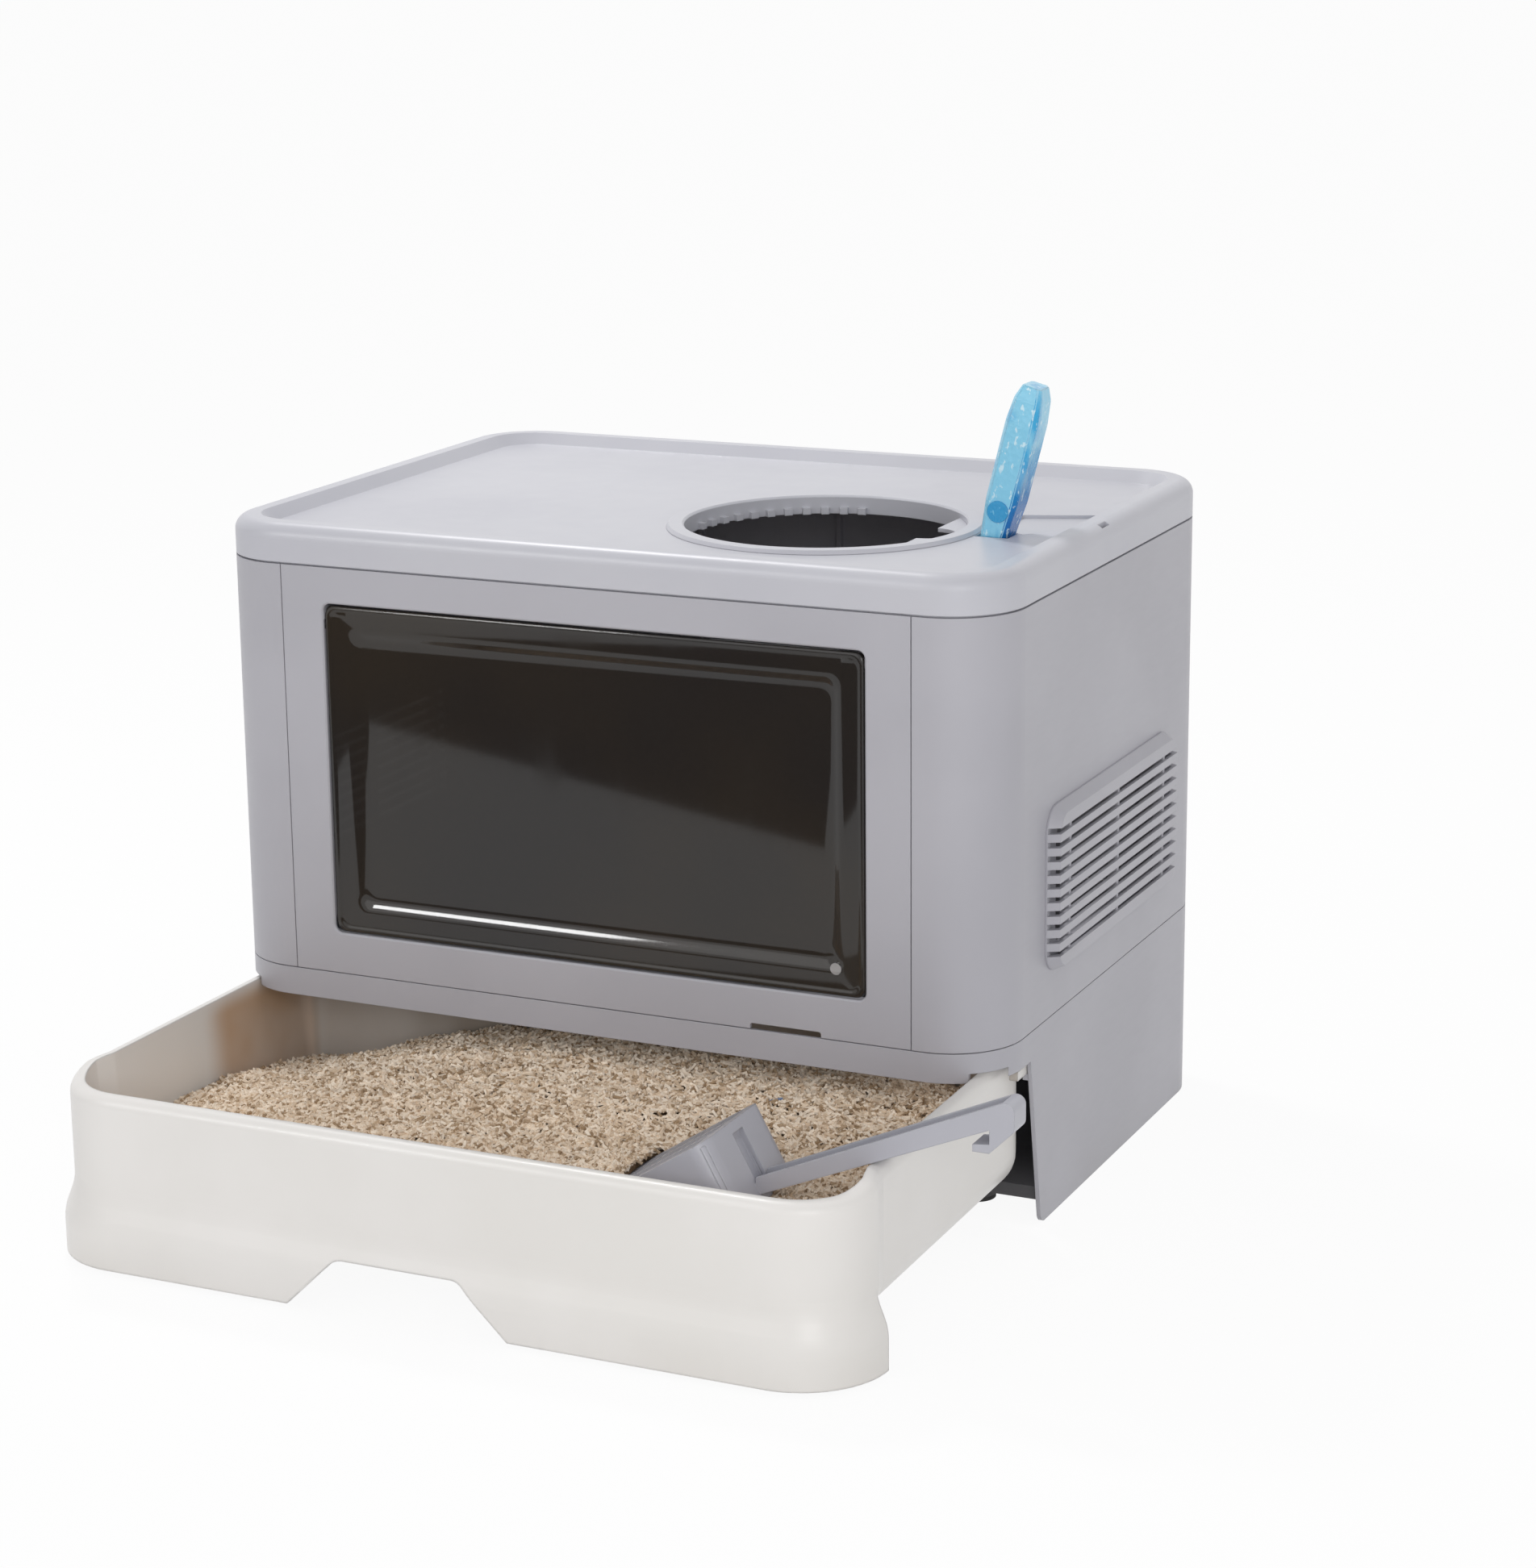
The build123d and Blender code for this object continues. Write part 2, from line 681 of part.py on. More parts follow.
with BuildPart() as cartridge_grille:
    with BuildSketch(case_right.offset(case_half - grille_depth)):
        with Locations((0, grille_centre)):
            Rectangle(cartridge_depth - 2 * grille_inset, grille_length)
            with GridLocations(1, grille_pitch, 1, int(grille_length / grille_pitch)):
                Rectangle(cartridge_depth - 2 * grille_inset - 6, grille_slot, mode=Mode.SUBTRACT)
    extrude(amount=grille_depth + grille_proud)
write(cartridge_grille.part, "cartridge_grille")

with BuildPart() as cartridge_plug:
    with BuildSketch(case_front.offset(cartridge_depth / 2 - grille_depth)):
        with Locations((0, plug_up)):
            Circle(plug_radius)
    extrude(amount=grille_depth + plug_proud)
write(cartridge_plug.part, "cartridge_plug")

# ---- lid catches: straps on the shells that show in the rim ----
strap_bottom_z = lid_seam_z - strap_drop
strap_x = width / 2 - wall - catch_thickness / 2


def lid_catch(side):
    with BuildPart() as catch:
        with BuildSketch(Plane.XY.offset(strap_bottom_z)):
            with Locations((side * strap_x, catch_y)):
                Rectangle(catch_thickness, catch_width)
        extrude(amount=shell_top_z - strap_bottom_z)
        with BuildSketch(Plane.XY.offset(shell_top_z - catch_root)):
            with Locations((side * catch_x, catch_y)):
                Rectangle(catch_thickness, catch_length)
        extrude(amount=catch_top_z - shell_top_z + catch_root)
    return catch.part


write(lid_catch(-1), "left_lid_catch")
write(lid_catch(1), "right_lid_catch")


# ---- vent covers: raised louvre boxes on the side walls ----
def vent_cover(side):
    with BuildPart() as cover:
        with BuildSketch(Plane.YZ.offset(side * width / 2)):
            with Locations((vent_centre_y, vent_centre_z)):
                RectangleRounded(vent_length, vent_height, vent_radius)
        extrude(amount=side * vent_proud)
        outer = cover.faces().sort_by(Axis.X)[-1 if side > 0 else 0]
        chamfer(outer.edges(), vent_proud * 0.85, vent_proud * 0.5)
        with BuildSketch(Plane.YZ.offset(side * width / 2)):
            with Locations((vent_centre_y, vent_centre_z)):
                RectangleRounded(
                    vent_length - 4 * vent_wall, vent_height - 4 * vent_wall, vent_radius - 2 * vent_wall
                )
        extrude(amount=side * (vent_proud - vent_wall), taper=28, mode=Mode.SUBTRACT)
        count = int((vent_height - 12) / louvre_pitch)
        with BuildSketch(Plane.YZ.offset(side * (width / 2 + 1.2))):
            with Locations((vent_centre_y, vent_centre_z)):
                with GridLocations(1, louvre_pitch, 1, count):
                    Rectangle(vent_length + 10, louvre_gap)
        extrude(amount=side * vent_proud, mode=Mode.SUBTRACT)
        # Upright bars behind the louvres tie them together.
        bar_step = (vent_length - 50) / (vent_bar_count - 1)
        with BuildSketch(Plane.YZ.offset(side * (width / 2 + fit_clearance))):
            with Locations((vent_centre_y, vent_centre_z)):
                with GridLocations(bar_step, 1, vent_bar_count, 1):
                    Rectangle(3, vent_height - 10)
        extrude(amount=side * (vent_proud - vent_wall + 0.6 - fit_clearance))
    return cover.part


write(vent_cover(-1), "left_vent_cover")
write(vent_cover(1), "right_vent_cover")

# ---- drawer: drafted tub, stepped rim, flared apron with a grip notch ----
drawer_y = front_y - pull_out
drawer_back_y = drawer_y + tray_length


def tray_outline(inset):
    """Plan outline of the tray, moved inwards by inset."""
    with BuildSketch() as outline:
        with BuildLine():
            Polyline(
                (-tray_front_half, drawer_y),
                (tray_front_half, drawer_y),
                (tray_front_half, drawer_y + tray_blend_start),
                (tray_side_half, drawer_y + tray_blend_end),
                (tray_rear_half, drawer_back_y),
                (-tray_rear_half, drawer_back_y),
                (-tray_side_half, drawer_y + tray_blend_end),
                (-tray_front_half, drawer_y + tray_blend_start),
                close=True,
            )
        make_face()
        fillet(outline.vertices().group_by(Axis.Y)[0], tray_front_radius)
        fillet(outline.vertices().group_by(Axis.Y)[-1], tray_rear_radius)
        if inset:
            offset(amount=-inset, mode=Mode.REPLACE)
    return outline.sketch


def tub_core(gap):
    """Space inside the tub, drawn gap away from its walls and floor."""
    with BuildPart() as core:
        with BuildSketch(Plane.XY.offset(tray_side_z + 1)):
            add(tray_outline(tray_rim + gap))
        extrude(amount=tray_bottom_z + tray_floor + gap - tray_side_z - 1, taper=tub_draft)
        fillet(core.faces().sort_by(Axis.Z)[0].edges(), tub_radius)
    return core.part


with BuildPart() as apron:
    with BuildLine() as apron_path:
        FilletPolyline(
            (-tray_front_half, drawer_y + tray_blend_start, apron_foot_z),
            (-tray_front_half, drawer_y, apron_foot_z),
            (tray_front_half, drawer_y, apron_foot_z),
            (tray_front_half, drawer_y + tray_blend_start, apron_foot_z),
            radius=tray_front_radius,
        )
    with BuildSketch(Plane(origin=apron_path.line @ 0, x_dir=(-1, 0, 0), z_dir=(0, 1, 0))):
        with BuildLine():
            Polyline(
                (-apron_wall, apron_top_z - apron_foot_z),
                (0, apron_top_z - apron_foot_z),
                (0, apron_flare_top_z - apron_foot_z),
                (apron_flare, apron_flare_low_z - apron_foot_z),
                (apron_flare, 0),
                (apron_flare - apron_wall, 0),
                (apron_flare - apron_wall, apron_flare_low_z - apron_foot_z - 1),
                (-apron_wall, apron_flare_top_z - apron_foot_z - 1),
                close=True,
            )
        make_face()
        bends = vertices().filter_by(
            lambda v: v.X > -0.1 and apron_flare_low_z - 1 < v.Y + apron_foot_z < apron_flare_top_z + 1
        )
        fillet(bends.filter_by(lambda v: abs(v.X) < 0.1 or abs(v.X - apron_flare) < 0.1), apron_bend)
    sweep()
    with BuildSketch(Plane.XY):
        with Locations((0, drawer_y + apron_wrap + width / 2)):
            Rectangle(2 * width, width)
    extrude(amount=apron_top_z + 10, mode=Mode.SUBTRACT)

tub_space = tub_core(0)
litter_space = tub_core(litter_gap)

with BuildPart() as litter_drawer:
    with BuildSketch(Plane.XY.offset(tray_bottom_z)):
        add(tray_outline(0))
    extrude(amount=tray_side_z - tray_bottom_z)
    fillet(litter_drawer.faces().sort_by(Axis.Z)[0].edges(), tray_bottom_radius)
    # The rim steps up in an S just behind the front corners.
    with BuildSketch(Plane.YZ.offset(-width)):
        with BuildLine():
            step_curve = Spline(
                (drawer_y + tray_rise_start, tray_front_z),
                (drawer_y + tray_rise_end, tray_side_z),
                tangents=((1, 0), (1, 0)),
            )
            Polyline(
                step_curve @ 1,
                (drawer_y + tray_rise_end, tray_side_z + 10),
                (drawer_y - 20, tray_side_z + 10),
                (drawer_y - 20, tray_front_z),
                step_curve @ 0,
            )
        make_face()
    extrude(amount=2 * width, mode=Mode.SUBTRACT)
    # Round the rim's outer edge, leaving the lines where the S starts and ends.
    top_edges = litter_drawer.edges().filter_by(lambda e: e.bounding_box().min.Z > tray_front_z - 1)
    rim_edges = top_edges.filter_by(
        lambda e: e.length < width - 60 or not drawer_y + 1 < e.center().Y < drawer_back_y - 1
    )
    fillet(rim_edges, tray_rim_radius)
    add(tub_space, mode=Mode.SUBTRACT)
    add(apron.part)
    # Trapezoid notch to pull by.
    with BuildSketch(Plane.XZ.offset(-drawer_y + apron_flare + 5)):
        with BuildLine():
            Polyline(
                (notch_x - notch_foot_width / 2, apron_foot_z - 5),
                (notch_x + notch_foot_width / 2, apron_foot_z - 5),
                (notch_x + notch_foot_width / 2, apron_foot_z),
                (notch_x + notch_top_width / 2, notch_z),
                (notch_x - notch_top_width / 2, notch_z),
                (notch_x - notch_foot_width / 2, apron_foot_z),
                close=True,
            )
        make_face()
        fillet(vertices().group_by(Axis.Y)[-1], notch_radius)
    extrude(amount=-apron_flare - apron_wall - 6, mode=Mode.SUBTRACT)
    # Lugs that ride on the base's ledges.
    for side in (-1, 1):
        with BuildSketch(Plane.XY.offset(lug_bottom_z)):
            with Locations((side * (lug_reach_x - lug_width / 2), drawer_back_y - lug_setback)):
                Rectangle(lug_width, lug_run)
        extrude(amount=lug_height)
write(litter_drawer.part, "litter_drawer")


# ---- scoop frame, shared by the scoop and by the dent it leaves in the litter ----
def pitched(along, down):
    """World x, z of a point given along the blade from its heel and down from it."""
    pitch = radians(scoop_pitch)
    return (
        scoop_x + along * cos(pitch) + down * sin(pitch),
        scoop_z + along * sin(pitch) - down * cos(pitch),
    )


heel_back = -heel_height * tan(radians(heel_lean))
heel_foot = pitched(heel_back, heel_height)
tip_foot = pitched(-blade_length, tip_height)

# ---- litter bed: the tub's filling under a raked, uneven surface ----
with BuildPart() as litter_top:
    for row_y, heights in litter_rows:
        with BuildSketch(Plane.XZ.offset(-drawer_y - row_y)):
            with BuildLine():
                surface = Spline(*zip(litter_columns, heights))
                Polyline(
                    surface @ 1,
                    (litter_columns[-1], tray_bottom_z - 5),
                    (litter_columns[0], tray_bottom_z - 5),
                    surface @ 0,
                )
            make_face()
    loft(ruled=True)

with BuildPart() as scoop_dent:
    dent_half = blade_width / 2 + scoop_clearance
    dent_run = heel_foot[0] + scoop_clearance - tip_foot[0] + 2 * scoop_clearance
    with BuildSketch(Plane.XZ.offset(-scoop_y - dent_half)):
        with BuildLine():
            Polyline(
                (tip_foot[0] - 3 * scoop_clearance, tip_foot[1] - 2 * scoop_clearance),
                (heel_foot[0] + 2 * scoop_clearance, heel_foot[1] - scoop_clearance),
                (heel_foot[0] + 2 * scoop_clearance, scoop_z),
                (tip_foot[0] - 3 * scoop_clearance, scoop_z),
                close=True,
            )
        make_face()
    extrude(amount=2 * dent_half)
    near_side = scoop_y - dent_half
    with BuildSketch(Plane.YZ.offset(tip_foot[0] - 3 * scoop_clearance)):
        with BuildLine():
            Polyline(
                (near_side + 0.01, tip_foot[1] - 2 * scoop_clearance),
                (near_side + 0.01, scoop_z),
                (near_side - (scoop_z - tip_foot[1]) / scoop_lift_ratio, scoop_z),
                close=True,
            )
        make_face()
    extrude(amount=dent_run)

with BuildPart() as litter_bed:
    add(litter_space)
    add(litter_top.part, mode=Mode.INTERSECT)
    add(scoop_dent.part, mode=Mode.SUBTRACT)
write(litter_bed.part, "litter_bed")

# ---- scoop: slotted blade, heel wall, side walls and channel handle ----
pitch_angle = radians(scoop_pitch)
blade_side = Plane(
    origin=(scoop_x, scoop_y, scoop_z),
    x_dir=(cos(pitch_angle), 0, sin(pitch_angle)),
    z_dir=(0, -1, 0),
)
blade_top = Plane(
    origin=(scoop_x, scoop_y, scoop_z),
    x_dir=(cos(pitch_angle), 0, sin(pitch_angle)),
    z_dir=(-sin(pitch_angle), 0, cos(pitch_angle)),
)


def handle_low(x):
    """Height of the handle's underside, which clears the tray's inner rim edge."""
    rim_x = tray_side_half - tray_rim
    return tray_side_z + handle_rim_gap + (x - rim_x) * handle_slope


def handle_high(x):
    share = (x - scoop_x) / (handle_end_x - scoop_x)
    return handle_low(x) + handle_root_depth + share * (handle_end_depth - handle_root_depth)


root_x = heel_foot[0] - 5

with BuildPart() as scoop:
    with BuildSketch(blade_side.offset(-blade_width / 2)):
        with BuildLine():
            Polyline(
                (0, 0),
                (heel_back, -heel_height),
                (-blade_length, -tip_height),
                (-blade_length, 0),
                close=True,
            )
        make_face()
    extrude(amount=blade_width)
    heel_edges = scoop.edges().sort_by(Axis.X)[-3:].filter_by(
        lambda e: abs(e.length - heel_height / cos(radians(heel_lean))) < 0.5
    )
    fillet(heel_edges, blade_corner)
    with BuildSketch(blade_side.offset(-blade_width / 2 + blade_wall)):
        with BuildLine():
            Polyline(
                (-blade_wall, -blade_wall),
                (-blade_wall + heel_back, -blade_wall - heel_height),
                (-blade_length - 5, -blade_wall - heel_height),
                (-blade_length - 5, -blade_wall),
                close=True,
            )
        make_face()
    extrude(amount=blade_width - 2 * blade_wall, mode=Mode.SUBTRACT)
    # Slots, in bands across the blade.
    slot_count = int((blade_length - 2 * blade_corner) / blade_slot_pitch) + 1
    with BuildSketch(blade_top.offset(-blade_wall - 1)):
        with Locations((-blade_length / 2 + 1, 0)):
            with GridLocations(blade_slot_pitch, blade_slot_long + blade_slot_rib, slot_count, slot_bands):
                Rectangle(blade_slot_wide, blade_slot_long)
    extrude(amount=blade_wall + 2, mode=Mode.SUBTRACT)
    # Boss inside the heel, then the handle.
    with BuildSketch(blade_side.offset(-groove_width / 2 - blade_wall)):
        with BuildLine():
            Polyline(
                (-blade_wall, -groove_start + blade_wall),
                (-blade_wall - groove_depth, -groove_start),
                (-blade_wall - groove_depth + heel_back, -heel_height + tip_height + 2),
                (-blade_wall + heel_back, -heel_height + tip_height),
                close=True,
            )
        make_face()
    extrude(amount=groove_width + 2 * blade_wall)
    with BuildSketch(Plane.XZ.offset(-scoop_y - handle_width / 2)):
        with BuildLine():
            Polyline(
                (root_x, handle_low(root_x)),
                (hook_inner_x, handle_low(hook_inner_x)),
                (hook_inner_x, hook_top_z),
                (hook_tip_x, hook_top_z - 1),
                (hook_tip_x, hook_foot_z),
                (hook_inner_x, hook_foot_z),
                (handle_end_x, handle_low(handle_end_x) - 5),
                (handle_end_x, handle_high(handle_end_x)),
                (root_x, handle_high(root_x)),
                close=True,
            )
        make_face()
        fillet(vertices().group_by(Axis.X)[-1], hook_round)
    extrude(amount=handle_width)
    # Channel along the handle and groove up the heel.
    cut_x = handle_end_x - 3 * handle_wall
    with BuildSketch(Plane.XZ.offset(-scoop_y - handle_width / 2 + handle_wall)):
        with BuildLine():
            Polyline(
                (heel_foot[0] - 2, handle_low(heel_foot[0] - 2) + handle_wall),
                (cut_x - handle_wall, handle_low(cut_x - handle_wall) + handle_wall),
                (cut_x, handle_high(cut_x) + 5),
                (heel_foot[0] - 2, handle_high(heel_foot[0]) + 8),
                close=True,
            )
        make_face()
    extrude(amount=handle_width - 2 * handle_wall, mode=Mode.SUBTRACT)
    with BuildSketch(blade_side.offset(-groove_width / 2)):
        with BuildLine():
            Polyline(
                (1, -groove_start),
                (-groove_depth * 0.6, -groove_start),
                (-groove_depth, -groove_start - 4),
                (-groove_depth + heel_back, -heel_height + handle_root_depth / 2),
                (6, -heel_height + handle_root_depth / 2 + 2),
                close=True,
            )
        make_face()
    extrude(amount=groove_width, mode=Mode.SUBTRACT)
write(scoop.part, "scoop")
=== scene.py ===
from math import cos, pi, radians, sin, tan

import bmesh
import bpy
from mathutils import Matrix, Vector, noise
from mathutils.bvhtree import BVHTree


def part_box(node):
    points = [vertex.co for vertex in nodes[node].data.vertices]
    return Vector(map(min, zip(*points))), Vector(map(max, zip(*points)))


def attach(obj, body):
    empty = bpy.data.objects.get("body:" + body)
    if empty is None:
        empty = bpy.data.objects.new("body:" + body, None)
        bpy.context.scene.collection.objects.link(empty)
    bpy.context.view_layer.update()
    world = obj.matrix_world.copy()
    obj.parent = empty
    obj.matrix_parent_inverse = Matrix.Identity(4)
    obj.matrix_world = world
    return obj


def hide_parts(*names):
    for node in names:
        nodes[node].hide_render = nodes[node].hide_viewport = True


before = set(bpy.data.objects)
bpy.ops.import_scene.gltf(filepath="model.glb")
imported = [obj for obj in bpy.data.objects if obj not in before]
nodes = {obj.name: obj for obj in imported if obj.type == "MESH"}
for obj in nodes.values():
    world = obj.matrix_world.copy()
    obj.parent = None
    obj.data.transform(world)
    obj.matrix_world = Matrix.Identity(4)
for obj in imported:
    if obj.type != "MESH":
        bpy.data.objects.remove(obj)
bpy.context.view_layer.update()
print("frame loaded,", len(nodes), "nodes")


# A Shade is one output socket, and its operators add Math nodes.
class Shade:
    def __init__(self, owner, socket):
        self.owner = owner
        self.socket = socket

    def maths(self, operation, *values):
        return self.owner.node("ShaderNodeMath", {"operation": operation}, dict(enumerate(values)))

    def __add__(self, other):
        return self.maths("ADD", self, other)

    def __radd__(self, other):
        return self.maths("ADD", other, self)

    def __sub__(self, other):
        return self.maths("SUBTRACT", self, other)

    def __rsub__(self, other):
        return self.maths("SUBTRACT", other, self)

    def __mul__(self, other):
        return self.maths("MULTIPLY", self, other)

    def output(self, name):  # another output of the same node
        return Shade(self.owner, self.socket.node.outputs[name])

    def between(self, low, high):  # 0 at low, 1 at high, smooth and clamped
        return self.owner.node(
            "ShaderNodeMapRange",
            {"interpolation_type": "SMOOTHSTEP", "clamp": True},
            {"Value": self, "From Min": low, "From Max": high},
            "Result",
        )


class NodeWork:  # one node tree: a material's, the world's or a Geometry Nodes group's
    def __init__(self, tree):
        self.tree = tree
        tree.nodes.clear()

    def node(self, kind, settings, values, output=0):
        made = self.tree.nodes.new(kind)
        for key, value in settings.items():
            setattr(made, key, value)
        for key, value in values.items():
            if isinstance(value, Shade):
                self.tree.links.new(value.socket, made.inputs[key])
            else:
                made.inputs[key].default_value = value
        return Shade(self, made.outputs[output]) if made.outputs else None

    def showsBackdrop(self):  # 1 for camera, glossy and see-through rays
        path = self.node("ShaderNodeLightPath", {}, {}, "Is Camera Ray")
        seen = path.maths("MAXIMUM", path, path.output("Is Glossy Ray"))
        return path.maths("MAXIMUM", seen, path.output("Is Transmission Ray"))


# In every look below, a noise is its scale, detail and stretch, and a span is where a mask
# starts and where it is full.
edgeLook = {"bevelSamples": 4, "turnSpan": (0.004, 0.16)}


class Finish(NodeWork):
    def __init__(self, name):
        self.material = bpy.data.materials.new(name)
        self.material.use_nodes = True
        super().__init__(self.material.node_tree)
        self.place = self.node("ShaderNodeTexCoord", {}, {}, "Object")

    def noise(self, scale, detail, stretch=(1, 1, 1)):
        place = self.node("ShaderNodeMapping", {}, {"Vector": self.place, "Scale": stretch})
        return self.node("ShaderNodeTexNoise", {}, {"Vector": place, "Scale": scale, "Detail": detail})

    def cells(self, scale):
        return self.node("ShaderNodeTexVoronoi", {}, {"Vector": self.place, "Scale": scale}, "Distance")

    def mix(self, share, first, second):
        return self.node("ShaderNodeMix", {"data_type": "RGBA"}, {0: share, 6: first, 7: second}, 2)

    def along(self, axis):  # metres along X, Y or Z
        return self.node("ShaderNodeSeparateXYZ", {}, {"Vector": self.place}, axis)

    def facing(self, axis):  # the face normal's share along X, Y or Z
        normal = self.node("ShaderNodeNewGeometry", {}, {}, "Normal")
        return self.node("ShaderNodeSeparateXYZ", {}, {"Vector": normal}, axis)

    def softEdge(self, radius):
        return self.node("ShaderNodeBevel", {"samples": edgeLook["bevelSamples"]}, {"Radius": radius})

    def edgeMask(self, edge):  # 1 where the rounded edge turns away from the face
        face = self.node("ShaderNodeNewGeometry", {}, {}, "Normal")
        same = self.node(
            "ShaderNodeVectorMath", {"operation": "DOT_PRODUCT"}, {0: edge, 1: face}, "Value"
        )
        return (1.0 - same).between(*edgeLook["turnSpan"])

    def bump(self, height, distance, normal=None):
        values = {"Height": height, "Distance": distance}
        if normal is not None:
            values["Normal"] = normal
        return self.node("ShaderNodeBump", {}, values)

    def surface(self, values):
        self.close(self.node("ShaderNodeBsdfPrincipled", {}, values))

    def close(self, shader):
        self.node("ShaderNodeOutputMaterial", {}, {"Surface": shader})


def tint(red, green, blue):  # 0-255 as seen on a screen, to a shader colour
    def linear(level):
        level = level / 255
        return level / 12.92 if level <= 0.04045 else ((level + 0.055) / 1.055) ** 2.4
    return (linear(red), linear(green), linear(blue), 1.0)


def linked(name, mesh):
    piece = bpy.data.objects.new(name, mesh)
    bpy.context.scene.collection.objects.link(piece)
    return piece


def freedMesh(name, shape):
    mesh = bpy.data.meshes.new(name)
    shape.to_mesh(mesh)
    shape.free()
    return mesh


def builtPiece(name, shape, finish):  # a closed shape as a linked piece, its faces turned outward
    bmesh.ops.recalc_face_normals(shape, faces=shape.faces)
    mesh = freedMesh(name, shape)
    mesh.materials.append(finish)
    return linked(name, mesh)


def bridged(shape, rings):  # quads from each closed ring of corners to the next
    for lower, upper in zip(rings, rings[1:]):
        for side in range(len(lower)):
            after = (side + 1) % len(lower)
            shape.faces.new((lower[side], lower[after], upper[after], upper[side]))


# ---- camera, fitted to the photograph's edges ----
cameraLook = {
    "place": (0.9717, -2.0438, 0.8062), "azimuth": 25.70, "elevation": 14.41, "roll": -0.83,
    "lens": 86.93, "sensor": 36.0, "shift": (0.0390, -0.0088),
}


def buildCamera(look):
    azimuth, elevation, roll = (radians(look[key]) for key in ("azimuth", "elevation", "roll"))
    back = Vector((sin(azimuth) * cos(elevation), -cos(azimuth) * cos(elevation), sin(elevation)))
    right = Vector((cos(azimuth), sin(azimuth), 0))
    up = back.cross(right)
    data = bpy.data.cameras.new("photoCamera")
    data.sensor_fit, data.sensor_width, data.lens = "HORIZONTAL", look["sensor"], look["lens"]
    data.shift_x, data.shift_y = look["shift"]
    camera = linked("photoCamera", data)
    turned = Matrix((cos(roll) * right + sin(roll) * up, cos(roll) * up - sin(roll) * right, back))
    camera.matrix_world = Matrix.Translation(look["place"]) @ turned.transposed().to_4x4()
    bpy.context.scene.camera = camera


buildCamera(cameraLook)
bpy.context.scene.view_settings.view_transform = "Standard"
print("camera set")

# ---- moulded plastics ----
mouldedLooks = {
    "housing": {
        "colour": tint(181, 180, 187), "cloud": tint(175, 174, 181), "wornAndHighlit": tint(200, 200, 206),
        "dust": tint(168, 166, 167), "roughness": 0.40, "spread": 0.14, "edge": 0.0007, "coat": 0.0,
    },
    "lid": {
        "colour": tint(197, 197, 204), "cloud": tint(191, 191, 199), "wornAndHighlit": tint(214, 214, 220),
        "dust": tint(188, 188, 193), "roughness": 0.38, "spread": 0.14, "edge": 0.0008, "coat": 0.0,
    },
    "drawer": {
        "colour": tint(233, 230, 227), "cloud": tint(228, 225, 221), "wornAndHighlit": tint(240, 238, 236),
        "dust": tint(220, 215, 209), "roughness": 0.36, "spread": 0.12, "edge": 0.0022, "coat": 0.05,
    },
    "scoop": {
        "colour": tint(180, 180, 188), "cloud": tint(172, 172, 181), "wornAndHighlit": tint(202, 203, 209),
        "dust": tint(174, 168, 160), "roughness": 0.36, "spread": 0.14, "edge": 0.0010, "coat": 0.05,
    },
    "floor": {
        "colour": tint(74, 73, 76), "cloud": tint(67, 66, 69), "wornAndHighlit": tint(98, 97, 100),
        "dust": tint(96, 92, 88), "roughness": 0.55, "spread": 0.16, "edge": 0.0006, "coat": 0.0,
    },
}
moulding = {
    "cloud": (7.0, 3.0), "cloudSpan": (0.35, 0.70), "grain": (1500.0, 2.0), "grainDepth": 0.000018,
    "grainRough": 0.05, "flow": (9.0, 1.0, (1.0, 1.0, 3.5)), "flowDepth": 0.00006,
    "scuff": (60.0, 4.0, (1.0, 1.0, 6.0)), "wornAndHighlitSpan": (0.30, 0.62), "wornAndHighlitShare": 0.55,
    "dustTop": 0.030, "dustSpan": (0.30, 0.75), "dustShare": 0.35,
}
paintedTubGlowAndShade = {  # painted warm glow on the tub's inner side walls beside the housing, and painted shade on its rear wall
    "colour": tint(190, 152, 114), "share": 0.90, "inwardSpan": (0.08, 0.20),
    "lowSpan": (0.030, 0.050), "highSpan": (0.098, 0.114), "besideSpan": (-0.246, -0.214),
    "patch": (14.0, 2.0), "patchSpan": (0.3, 0.7), "patchLeast": 0.6,
    "rearShadeColour": tint(146, 130, 112), "rearShadeShare": 0.75, "rearShadeSpan": (0.5, 0.8),
    "rearShadePlaceSpan": (-0.19, -0.16),
}


def paintTubGlowAndShade(finish, colour, dust):
    # painted warm glow: inward faces of the side walls, beside the housing, take the warm colour
    inward = (finish.along("X") * finish.facing("X") * -1.0).between(*dust["inwardSpan"])
    height = finish.along("Z")
    level = height.between(*dust["lowSpan"]) * (1.0 - height.between(*dust["highSpan"]))
    beside = finish.along("Y").between(*dust["besideSpan"])
    patch = finish.noise(*dust["patch"]).between(*dust["patchSpan"])
    patch = dust["patchLeast"] + patch * (1 - dust["patchLeast"])
    colour = finish.mix(inward * level * beside * patch * dust["share"], colour, dust["colour"])
    # painted shade: the rear wall's inner face takes the darker rear colour
    rearShade = (finish.facing("Y") * -1.0).between(*dust["rearShadeSpan"])
    rearShade = rearShade * finish.along("Y").between(*dust["rearShadePlaceSpan"])
    return finish.mix(rearShade * patch * dust["rearShadeShare"], colour, dust["rearShadeColour"])


